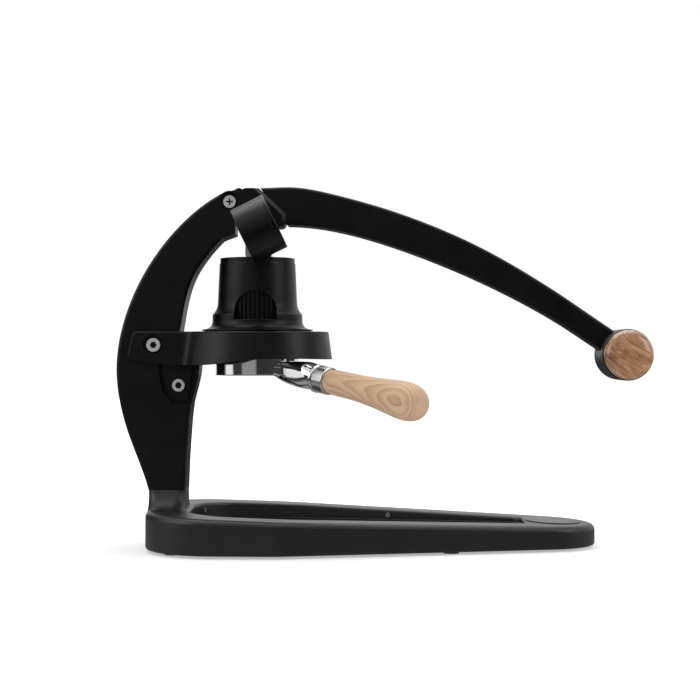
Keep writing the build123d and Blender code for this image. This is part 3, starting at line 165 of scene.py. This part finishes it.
def coat(name, dark, light, rough, specular, grain=1600.0, strength=0.12):
    """Satin powder coat or moulded plastic: faint mottling and a fine orange-peel skin."""
    mat, tree, shader = new_material(name)
    place = coordinates(tree)
    mottling = noise(tree, place, scale=45.0, detail=3.0, roughness=0.6)
    skin = noise(tree, place, scale=grain, detail=2.0, roughness=0.55)
    tree.links.new(ramp(tree, mottling, [(0.35, dark), (0.65, light)]), shader.inputs["Base Color"])
    tree.links.new(spread(tree, mottling, *rough), shader.inputs["Roughness"])
    shader.inputs["Specular IOR Level"].default_value = specular
    bump(tree, shader, skin, strength, distance=0.0002, edge_round=0.0009)
    return mat


def steel(name, dark, light, rough, shares):
    """Bare metal with fine machining lines along the axes that have a small share."""
    mat, tree, shader = new_material(name)
    lines = noise(tree, coordinates(tree, shares=shares), scale=900.0, detail=3.0, roughness=0.6)
    tree.links.new(ramp(tree, lines, [(0.3, dark), (0.7, light)]), shader.inputs["Base Color"])
    tree.links.new(spread(tree, lines, *rough), shader.inputs["Roughness"])
    shader.inputs["Metallic"].default_value = 1.0
    bump(tree, shader, lines, strength=0.06, distance=0.0001)
    return mat


def plated(name, dark, light, rough):
    """Polished plating, with a trace of smudging."""
    mat, tree, shader = new_material(name)
    smudges = noise(tree, coordinates(tree), scale=60.0, detail=4.0, roughness=0.6)
    tree.links.new(ramp(tree, smudges, [(0.3, dark), (0.7, light)]), shader.inputs["Base Color"])
    tree.links.new(spread(tree, smudges, *rough), shader.inputs["Roughness"])
    shader.inputs["Metallic"].default_value = 1.0
    return mat


def growth_rings(tree, place, heart, scale, wander):
    """Wavy rings round a heart line that lies outside the piece."""
    warp = noise(tree, place, scale=30.0, detail=3.0, roughness=0.55, distortion=0.4)
    shift = node(tree, "ShaderNodeVectorMath", {1: (wander, wander, wander)}, operation="MULTIPLY")
    tree.links.new(warp, shift.inputs[0])
    moved = joined(tree, "ADD", place, shift.outputs["Vector"])
    centred = joined(tree, "SUBTRACT", moved, heart)
    rings = node(tree, "ShaderNodeTexWave", {
        "Scale": scale, "Distortion": 0.8, "Detail": 3.0, "Detail Scale": 1.6, "Detail Roughness": 0.6},
        wave_type="RINGS", rings_direction="X", wave_profile="SAW")
    tree.links.new(centred, rings.inputs["Vector"])
    return rings.outputs["Fac"]


def wood(name, turn, heart, stops, ring_scale, wander, rough, varnish, figure=0.4, figure_scale=70.0):
    """Turned wood: growth rings, a broad figure, and fine pores along the grain."""
    mat, tree, shader = new_material(name)
    ring_place = coordinates(tree, turn, shares=(0.22, 1.0, 1.0))
    pore_place = coordinates(tree, turn, shares=(0.04, 1.0, 1.0))
    broad_place = coordinates(tree, turn, shares=(0.4, 1.0, 1.0))
    rings = growth_rings(tree, ring_place, heart, ring_scale, wander)
    pores = noise(tree, pore_place, scale=1300.0, detail=3.0, roughness=0.65)
    broad = noise(tree, broad_place, scale=figure_scale, detail=4.0, roughness=0.62, distortion=1.2)
    streaks = blend(tree, 0.45, rings, pores)
    tree.links.new(ramp(tree, blend(tree, figure, streaks, broad), stops), shader.inputs["Base Color"])
    tree.links.new(spread(tree, pores, *rough), shader.inputs["Roughness"])
    shader.inputs["Specular IOR Level"].default_value = 0.4
    shader.inputs["Coat Weight"].default_value = varnish
    shader.inputs["Coat Roughness"].default_value = 0.08
    bump(tree, shader, pores, strength=0.1, distance=0.0002)
    return mat


def driven_steel(name, piece, recess=0.0012):
    """Screws that face sideways: bright steel on their faces, and painted shade down in the recess for the
    driver, where the colour goes near black.
    """
    mat, tree, shader = new_material(name)
    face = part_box(piece)[1][1]
    place = coordinates(tree)
    parts = node(tree, "ShaderNodeSeparateXYZ")
    tree.links.new(place, parts.inputs["Vector"])
    reach = node(tree, "ShaderNodeMath", operation="ABSOLUTE")
    tree.links.new(parts.outputs["Y"], reach.inputs[0])
    # Painted shade: the colour darkens to near black with depth into the driver's recess, counted from the
    # face
    height = spread(tree, reach.outputs["Value"], 0.0, 1.0,
                    from_low=face - recess, from_high=face - recess * 0.25)
    colour = ramp(tree, height, [(0.1, (0.02, 0.02, 0.02)), (0.8, (0.95, 0.95, 0.94))])
    tree.links.new(colour, shader.inputs["Base Color"])
    lines = noise(tree, place, scale=900.0, detail=3.0, roughness=0.6)
    tree.links.new(spread(tree, lines, 0.24, 0.36), shader.inputs["Roughness"])
    shader.inputs["Metallic"].default_value = 0.7
    return mat


def clear(name):
    """Clear glass with a trace of haze."""
    mat, tree, shader = new_material(name)
    haze = noise(tree, coordinates(tree), scale=80.0)
    tree.links.new(spread(tree, haze, 0.01, 0.04), shader.inputs["Roughness"])
    shader.inputs["Base Color"].default_value = (0.96, 0.98, 0.98, 1.0)
    shader.inputs["Transmission Weight"].default_value = 1.0
    shader.inputs["IOR"].default_value = 1.45
    return mat


# The materials: coats and plastics

POWDER = coat("powder_black", dark=(0.0018, 0.0018, 0.0034), light=(0.0032, 0.0032, 0.0052),
              rough=(0.34, 0.42), specular=0.36)
# The base's coat is a lighter copy of the black powder coat: painted light, its colour raised above the
# post's to stand in for the light the base catches
BASE_POWDER = coat("base_powder_black", dark=(0.006, 0.006, 0.0086), light=(0.0085, 0.0085, 0.0118),
                   rough=(0.36, 0.44), specular=0.64)
JACKET = coat("jacket_black", dark=(0.002, 0.002, 0.0034), light=(0.0034, 0.0034, 0.005),
              rough=(0.34, 0.42), specular=0.3, grain=1900.0)
BARREL = coat("barrel_black", dark=(0.013, 0.013, 0.014), light=(0.02, 0.02, 0.021),
              rough=(0.4, 0.5), specular=0.6)
DRUM = coat("gauge_black", dark=(0.002, 0.002, 0.003), light=(0.003, 0.003, 0.004),
            rough=(0.28, 0.36), specular=0.4, grain=2200.0, strength=0.08)
PAD = coat("pad_black", dark=(0.003, 0.003, 0.003), light=(0.005, 0.005, 0.005),
           rough=(0.3, 0.4), specular=0.4)
RUBBER = coat("rubber_black", dark=(0.012, 0.012, 0.012), light=(0.02, 0.02, 0.02),
              rough=(0.7, 0.85), specular=0.2, grain=900.0, strength=0.3)
DIAL = coat("dial_white", dark=(0.78, 0.78, 0.76), light=(0.83, 0.83, 0.81),
            rough=(0.5, 0.6), specular=0.3, grain=1800.0, strength=0.05)
NEEDLE = coat("needle_black", dark=(0.01, 0.01, 0.01), light=(0.015, 0.015, 0.015),
              rough=(0.4, 0.5), specular=0.4)

# The materials: metals and glass

CHROME = plated("chrome", dark=(0.78, 0.78, 0.8), light=(0.86, 0.86, 0.87), rough=(0.04, 0.11))
BLACKENED = plated("black_plating", dark=(0.03, 0.03, 0.032), light=(0.045, 0.045, 0.048),
                   rough=(0.2, 0.3))
SCREW = steel("screw_steel", dark=(0.42, 0.42, 0.43), light=(0.6, 0.6, 0.61),
              rough=(0.22, 0.36), shares=(1.0, 1.0, 1.0))
TURNED = steel("turned_steel", dark=(0.5, 0.5, 0.51), light=(0.66, 0.66, 0.67),
               rough=(0.2, 0.32), shares=(0.1, 0.1, 1.0))
BRONZE = steel("bush_bronze", dark=(0.5, 0.33, 0.12), light=(0.62, 0.44, 0.2),
               rough=(0.25, 0.4), shares=(1.0, 0.1, 1.0))
SATIN = steel("satin_ferrule", dark=(0.62, 0.62, 0.61), light=(0.86, 0.86, 0.85),
              rough=(0.18, 0.32), shares=(0.15, 0.15, 1.0))
# Screw steels with painted shade down in their driver recesses
PIVOT_STEEL = driven_steel("pivot_screw_steel", "pivot_screws")
ARM_STEEL = driven_steel("arm_bolt_steel", "bracket_arm_bolts")
LEG_STEEL = driven_steel("leg_bolt_steel", "bracket_leg_bolts")
GLASS = clear("clear_glass")

# The materials: woods. The light one's grain runs nearly along the grip.

GRIP_WOOD = wood(
    "light_wood", turn=(0.0, GRIP_TILT - GRAIN_LEAN, GRIP_AZIMUTH + GRAIN_LEAN), heart=(0.0, 0.026, 0.138),
    stops=[(0.2, (0.5, 0.28, 0.155)), (0.4, (0.7, 0.45, 0.28)), (0.6, (0.83, 0.58, 0.39)),
           (0.8, (0.74, 0.48, 0.3))],
    ring_scale=140.0, wander=0.01, rough=(0.38, 0.52), varnish=0.0)
CAP_WOOD = wood(
    "dark_wood", turn=(0.0, math.radians(35.0), 0.0), heart=(0.0, 0.02, 0.27),
    stops=[(0.3, (0.16, 0.065, 0.03)), (0.42, (0.36, 0.17, 0.085)), (0.54, (0.5, 0.25, 0.135)),
           (0.68, (0.68, 0.42, 0.24))],
    ring_scale=75.0, wander=0.05, rough=(0.2, 0.32), varnish=1.0, figure=0.78, figure_scale=95.0)


# Which material each CAD node wears

LOOKS = {
    "base": BASE_POWDER,
    "base_feet": RUBBER,
    "front_pad": PAD,
    "rail_studs": SCREW,
    "post": POWDER,
    "post_bolts": SCREW,
    "bracket": POWDER,
    "bracket_arm_bolts": ARM_STEEL,
    "bracket_leg_bolts": LEG_STEEL,
    "lever_arm": POWDER,
    "pivot_shaft": TURNED,
    "pivot_bushings": BRONZE,
    "pivot_screws": PIVOT_STEEL,
    "link_pin": TURNED,
    "link_pin_clips": SCREW,
    "handle_rod": SCREW,
    "handle_barrel": BARREL,
    "handle_caps": CAP_WOOD,
    "plunger_head": TURNED,
    "plunger_stem": TURNED,
    "piston": TURNED,
    "piston_seals": RUBBER,
    "brew_cylinder": TURNED,
    "jacket": JACKET,
    "lock_collar": TURNED,
    "collar_screws": SCREW,
    "group_gasket": RUBBER,
    "dispersion_screen": TURNED,
    "filter_basket": TURNED,
    "basket_spring": SCREW,
    "portafilter_body": CHROME,
    "grip_ferrule": SATIN,
    "grip_rod": SCREW,
    "portafilter_grip": GRIP_WOOD,
    "gauge_tube": TURNED,
    "tube_nut": SCREW,
    "gauge_case": DRUM,
    "gauge_bezel": BLACKENED,
    "gauge_dial": DIAL,
    "gauge_needle": NEEDLE,
    "gauge_movement": BRONZE,
    "gauge_glass": GLASS,
}
for name, look in LOOKS.items():
    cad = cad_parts[name]
    cad.data.materials.clear()
    cad.data.materials.append(look)


# Small steps that the added pieces share

def build(name, mesh_maker, look, body):
    """An object from bmesh code, that rides on a body."""
    bm = bmesh.new()
    mesh_maker(bm)
    bmesh.ops.recalc_face_normals(bm, faces=bm.faces)
    mesh = bpy.data.meshes.new(name)
    bm.to_mesh(mesh)
    bm.free()
    mesh.materials.append(look)
    made = bpy.data.objects.new(name, mesh)
    bpy.context.scene.collection.objects.link(made)
    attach(made, body)
    return made


def prism(bm, corners, rise):
    """A thin raised shape from its outline and the vector that it rises by."""
    low = [bm.verts.new(point) for point in corners]
    high = [bm.verts.new(Vector(point) + rise) for point in corners]
    bm.faces.new(low)
    bm.faces.new(high)
    for i in range(len(corners)):
        j = (i + 1) % len(corners)
        bm.faces.new((low[i], low[j], high[j], high[i]))


def oval(middle, up, across, half_height, half_width, squareness=2.0, steps=64):
    """Points round an oval: an ellipse at squareness 2, and squarer above that."""
    points = []
    for i in range(steps):
        angle = 2 * math.pi * i / steps
        c = math.cos(angle)
        s = math.sin(angle)
        reach = (abs(c) ** squareness + abs(s) ** squareness) ** (-1 / squareness)
        points.append(middle + across * (half_width * reach * c) + up * (half_height * reach * s))
    return points


def shell(bm, ovals):
    """A closed smooth skin through a row of ovals."""
    rings = [[bm.verts.new(point) for point in points] for points in ovals]
    for low, high in zip(rings, rings[1:]):
        for i in range(len(low)):
            j = (i + 1) % len(low)
            bm.faces.new((low[i], low[j], high[j], high[i])).smooth = True
    bm.faces.new(rings[0])
    bm.faces.new(rings[-1])


def on_curve(share, before, start, end, after):
    """One measure of a Catmull-Rom curve, a share of the way from start to end."""
    return 0.5 * (2 * start + (end - before) * share
                  + (2 * before - 5 * start + 4 * end - after) * share ** 2
                  + (3 * start - before - 3 * end + after) * share ** 3)


def rounded_profile(points, count):
    """Evenly counted stations on a smooth curve through the points of an outline."""
    padded = [points[0], *points, points[-1]]
    stations = []
    for k in range(count + 1):
        along = k / count * (len(points) - 1)
        i = min(int(along), len(points) - 2)
        stations.append([on_curve(along - i, *four) for four in zip(*padded[i:i + 4])])
    return stations


# Portafilter: a full neck over the cast one, its bead, and the shaped grip

grip_flat = Vector((math.cos(GRIP_AZIMUTH), math.sin(GRIP_AZIMUTH), 0.0))
grip_along = grip_flat * math.cos(GRIP_TILT) - Vector((0.0, 0.0, math.sin(GRIP_TILT)))
grip_across = Vector((-grip_flat.y, grip_flat.x, 0.0))
grip_up = grip_along.cross(grip_across)


def on_grip_axis(out):
    """A point on the grip's axis, by its distance from the brew axis."""
    return Vector((0.0, 0.0, GRIP_AXIS_HEIGHT)) + grip_along * out


def neck(bm):
    """From the portafilter's wall, where it is nearly square, to the round end at the ferrule."""
    # distance out, height of the top, half height, half width, squareness
    outline = [
        (0.0315, 0.1508, 0.0066, 0.0092, 5.0), (0.038, 0.1511, 0.0080, 0.0098, 5.0),
        (0.046, 0.1512, 0.0092, 0.0103, 5.0), (0.055, 0.1511, 0.0101, 0.0107, 4.5),
        (0.061, 0.1505, 0.0104, 0.0108, 3.5), (0.066, 0.1496, 0.0102, 0.0104, 2.6),
        (0.070, 0.1484, 0.0094, 0.0094, 2.2), (0.0742, 0.1474, 0.0094, 0.0094, 2.0)]
    ovals = []
    for out, top, half_height, half_width, squareness in rounded_profile(outline, count=36):
        middle = grip_flat * out + Vector((0.0, 0.0, top - half_height))
        ovals.append(oval(middle, UP, grip_across, half_height, half_width, squareness))
    shell(bm, ovals)


def neck_bead(bm):
    """The rounded bead that the ferrule seats against."""
    # distance out, radius
    outline = [(0.0708, 0.0096), (0.0714, 0.0108), (0.0725, 0.0113), (0.0737, 0.0111), (0.0746, 0.0104)]
    ovals = []
    for out, radius in rounded_profile(outline, count=14):
        ovals.append(oval(on_grip_axis(out), grip_up, grip_across, radius, radius))
    shell(bm, ovals)


def shaped_grip(bm):
    """Slim at the ferrule, full and rounded at the end, with a slight droop."""
    # distance from the ferrule, radius
    outline = [
        (0.0, 0.0090), (0.006, 0.0099), (0.02, 0.0101), (0.036, 0.0106), (0.052, 0.0118),
        (0.066, 0.0133), (0.077, 0.0144), (0.086, 0.0143), (0.0925, 0.0126), (0.0965, 0.0100),
        (0.0988, 0.0065), (0.0994, 0.0030)]
    length = GRIP_END - FERRULE_END
    ovals = []
    for out, radius in rounded_profile(outline, count=66):
        droop = GRIP_SAG * (out / length) ** 2
        middle = on_grip_axis(FERRULE_END + out) - grip_up * droop
        ovals.append(oval(middle, grip_up, grip_across, radius, radius))
    shell(bm, ovals)


build("portafilter_neck", neck, CHROME, "portafilter")
build("portafilter_neck_bead", neck_bead, CHROME, "portafilter")
grip = build("shaped_grip", shaped_grip, GRIP_WOOD, "portafilter")
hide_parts("portafilter_grip")


# Handle: domed wooden ends on the barrel

barrel_low, barrel_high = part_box("handle_barrel")
HANDLE_X = (barrel_low[0] + barrel_high[0]) / 2
HANDLE_Z = (barrel_low[2] + barrel_high[2]) / 2
BARREL_END = barrel_high[1]


def domed_caps(bm):
    """Both ends: a short straight rim, a full round edge and a low dome."""
    # distance from the barrel's end, radius
    outline = [
        (0.0001, 0.0189), (0.0008, 0.0196), (0.0025, 0.02), (0.0048, 0.0199), (0.007, 0.0191),
        (0.0092, 0.0169), (0.0108, 0.0138), (0.0119, 0.0098), (0.0124, 0.0052), (0.0126, 0.0008)]
    for side in (-1, 1):
        ovals = []
        for out, radius in rounded_profile(outline, count=44):
            middle = Vector((HANDLE_X, side * (BARREL_END + out), HANDLE_Z))
            ovals.append(oval(middle, UP, FORWARD, radius, radius, steps=96))
        shell(bm, ovals)


caps = build("domed_caps", domed_caps, CAP_WOOD, "lever")
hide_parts("handle_caps")


# Gauge: plain ticks and numbers on the dial's face

DIAL_HALF = 0.0004
TICK_END = 0.0194
LONG_TICK = 0.0028
LONG_TICK_HALF_WIDTH = 0.00028
SHORT_TICK = 0.0016
SHORT_TICK_HALF_WIDTH = 0.00012
TICK_RISE = 0.00008
TICK_STEPS = 60
STEPS_TO_LONG_TICK = 10
NUMBER_RADIUS = 0.0138
NUMBER_SIZE = 0.0042
NUMBER_HALF_RISE = 0.00004
NUMBER_LIFT = 0.00006
LAST_NUMBER = 12
NUMBER_STEP = 2

gauge_out = Vector((math.cos(GAUGE_TILT), 0.0, math.sin(GAUGE_TILT)))
gauge_up = gauge_out.cross(AWAY)
dial_low, dial_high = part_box("gauge_dial")
dial_middle = (Vector(dial_low) + Vector(dial_high)) / 2


def on_dial(radius, degrees, lift=0.0):
    """A point over the dial's face."""
    angle = math.radians(degrees)
    return (dial_middle + gauge_out * (DIAL_HALF + lift)
            + AWAY * (radius * math.cos(angle)) + gauge_up * (radius * math.sin(angle)))


def dial_ticks(bm):
    """Ticks along the needle's sweep, each tenth one long and wide."""
    for i in range(TICK_STEPS + 1):
        degrees = NEEDLE_REST - NEEDLE_SWEEP * i / TICK_STEPS
        is_long = i % STEPS_TO_LONG_TICK == 0
        inner = TICK_END - (LONG_TICK if is_long else SHORT_TICK)
        half_width = LONG_TICK_HALF_WIDTH if is_long else SHORT_TICK_HALF_WIDTH
        lean = math.degrees(half_width / TICK_END)
        corners = [on_dial(inner, degrees - lean), on_dial(TICK_END, degrees - lean),
                   on_dial(TICK_END, degrees + lean), on_dial(inner, degrees + lean)]
        prism(bm, corners, gauge_out * TICK_RISE)


def number_mesh(text):
    """A mesh of one number, flat in the XY plane and centred."""
    curve = bpy.data.curves.new("number", "FONT")
    curve.body = text
    curve.size = NUMBER_SIZE
    curve.align_x = "CENTER"
    curve.align_y = "CENTER"
    curve.extrude = NUMBER_HALF_RISE
    holder = bpy.data.objects.new("number", curve)
    bpy.context.scene.collection.objects.link(holder)
    bpy.context.view_layer.update()
    mesh = bpy.data.meshes.new_from_object(holder)
    bpy.data.objects.remove(holder)
    bpy.data.curves.remove(curve)
    return mesh


def dial_numbers(bm):
    """Numbers 0 to 12 beside the long ticks."""
    onto_dial = Matrix((AWAY, gauge_up, gauge_out)).transposed().to_4x4()
    for number in range(0, LAST_NUMBER + 1, NUMBER_STEP):
        degrees = NEEDLE_REST - NEEDLE_SWEEP * number / LAST_NUMBER
        mesh = number_mesh(str(number))
        mesh.transform(Matrix.Translation(on_dial(NUMBER_RADIUS, degrees, NUMBER_LIFT)) @ onto_dial)
        bm.from_mesh(mesh)
        bpy.data.meshes.remove(mesh)


build("dial_ticks", dial_ticks, NEEDLE, "plunger")
build("dial_numbers", dial_numbers, NEEDLE, "plunger")


# Floor: white, with the object's shadow

FLOOR_HALF = 4.0
FLOOR_WHITE = (0.9, 0.9, 0.9, 1.0)
PURE_WHITE = (1.0, 1.0, 1.0, 1.0)

# Glow towards the camera and in reflections: near the object and away from it, and at which distances
CAMERA_GLOW = (0.42, 0.95)
CAMERA_GLOW_AT = (0.15, 0.7)
REFLECTED_GLOW = (0.32, 0.05)
REFLECTED_GLOW_AT = (0.2, 0.55)


def seen_by(tree, *rays):
    """One for the named kinds of ray, zero for the rest."""
    path = node(tree, "ShaderNodeLightPath")
    result = path.outputs[rays[0]]
    for ray in rays[1:]:
        result = joined(tree, "MAXIMUM", result, path.outputs[ray])
    return result


def floor_material():
    """White floor: a slight glow for the camera, more so away from the object, and dim in reflections."""
    mat, tree, shader = new_material("studio_floor")
    tree.nodes.remove(shader)
    length = node(tree, "ShaderNodeVectorMath", operation="LENGTH")
    tree.links.new(coordinates(tree, shares=(0.7, 1.0, 1.0)), length.inputs[0])
    distance = length.outputs["Value"]

    painted = node(tree, "ShaderNodeBsdfDiffuse", {"Color": FLOOR_WHITE})
    glow = node(tree, "ShaderNodeEmission", {"Color": PURE_WHITE})
    glow_level = spread(tree, distance, *CAMERA_GLOW, *CAMERA_GLOW_AT)
    to_camera = seen_by(tree, "Is Camera Ray", "Is Transmission Ray")
    tree.links.new(blend(tree, to_camera, 0.0, glow_level), glow.inputs["Strength"])
    plain = node(tree, "ShaderNodeAddShader")
    tree.links.new(painted.outputs["BSDF"], plain.inputs[0])
    tree.links.new(glow.outputs["Emission"], plain.inputs[1])

    reflected = node(tree, "ShaderNodeEmission", {"Color": PURE_WHITE})
    reflected_level = spread(tree, distance, *REFLECTED_GLOW, *REFLECTED_GLOW_AT)
    tree.links.new(reflected_level, reflected.inputs["Strength"])
    shown = node(tree, "ShaderNodeMixShader")
    tree.links.new(seen_by(tree, "Is Glossy Ray"), shown.inputs["Fac"])
    tree.links.new(plain.outputs["Shader"], shown.inputs[1])
    tree.links.new(reflected.outputs["Emission"], shown.inputs[2])
    tree.links.new(shown.outputs["Shader"], tree.nodes["Material Output"].inputs["Surface"])
    return mat


floor_mesh = bpy.data.meshes.new("floor")
floor_corners = [(-FLOOR_HALF, -FLOOR_HALF, 0.0), (FLOOR_HALF, -FLOOR_HALF, 0.0),
                 (FLOOR_HALF, FLOOR_HALF, 0.0), (-FLOOR_HALF, FLOOR_HALF, 0.0)]
floor_mesh.from_pydata(floor_corners, [], [(0, 1, 2, 3)])
floor_mesh.materials.append(floor_material())
floor = bpy.data.objects.new("floor", floor_mesh)
bpy.context.scene.collection.objects.link(floor)


# World: white behind the object, an even dim light, and light and dark cards for reflections

AMBIENT_LEVEL = 0.4
OVERHEAD_LEVEL = 0.85

# Direction in degrees round the object, 0 towards the camera and 90 towards the handle, and brightness
REFLECTION_CARDS = [
    (-180, 1.0), (-155, 0.8), (-148, 0.03), (-103, 0.03), (-99, 0.95), (-70, 0.95), (-66, 0.04),
    (-42, 0.04), (-38, 0.3), (-4, 0.3), (2, 0.03), (66, 0.05), (76, 0.55), (180, 1.0)]


def card_level(tree, way):
    """The brightness of the cards round the object, from the parts of a direction."""
    front = joined(tree, "MULTIPLY", way.outputs["Y"], -1.0)
    azimuth = joined(tree, "ARCTAN2", way.outputs["X"], front)
    around = spread(tree, azimuth, 0.0, 1.0, from_low=-math.pi, from_high=math.pi)
    stops = [((degrees + 180) / 360, (level, level, level)) for degrees, level in REFLECTION_CARDS]
    return ramp(tree, around, stops)


def studio_world():
    """The light from all round: pure white for the camera only."""
    made = bpy.data.worlds.new("studio")
    made.use_nodes = True
    tree = made.node_tree
    way = node(tree, "ShaderNodeSeparateXYZ")
    tree.links.new(node(tree, "ShaderNodeTexCoord").outputs["Generated"], way.inputs["Vector"])
    overhead = spread(tree, way.outputs["Z"], 0.0, OVERHEAD_LEVEL, from_low=0.2, from_high=0.85)
    studio = joined(tree, "MAXIMUM", overhead, card_level(tree, way))
    on_object = blend(tree, seen_by(tree, "Is Glossy Ray"), AMBIENT_LEVEL, studio)
    to_camera = seen_by(tree, "Is Camera Ray", "Is Transmission Ray")
    background = tree.nodes["Background"]
    tree.links.new(blend(tree, to_camera, on_object, 1.0), background.inputs["Strength"])
    background.inputs["Color"].default_value = PURE_WHITE
    return made


bpy.context.scene.world = studio_world()


# Lamps: soft boxes above and at both ends

def lamp(name, place, target, size, power):
    """A rectangular soft box that faces its target."""
    light = bpy.data.lights.new(name, "AREA")
    light.shape = "RECTANGLE"
    light.size, light.size_y = size
    light.energy = power
    holder = bpy.data.objects.new(name, light)
    holder.location = place
    holder.rotation_euler = (Vector(target) - Vector(place)).to_track_quat("-Z", "Y").to_euler()
    bpy.context.scene.collection.objects.link(holder)


lamp("top_softbox", place=(0.05, 0.25, 1.25), target=(0.08, 0.0, 0.1), size=(1.3, 0.9), power=8.0)
lamp("left_softbox", place=(-1.25, -0.7, 0.75), target=(0.0, 0.0, 0.15), size=(0.7, 0.9), power=4.0)
lamp("right_softbox", place=(1.35, -0.6, 0.8), target=(0.1, 0.0, 0.15), size=(0.6, 0.9), power=4.0)


# Camera

camera_data = bpy.data.cameras.new("camera")
camera_data.sensor_width = SENSOR_WIDTH
camera_data.lens = SENSOR_WIDTH * FOCAL_WIDTHS
camera = bpy.data.objects.new("camera", camera_data)
camera.location = CAMERA_PLACE
camera.rotation_euler = (LEVEL_VIEW, 0.0, 0.0)
bpy.context.scene.collection.objects.link(camera)
bpy.context.scene.camera = camera

bpy.context.scene.view_settings.view_transform = "Standard"
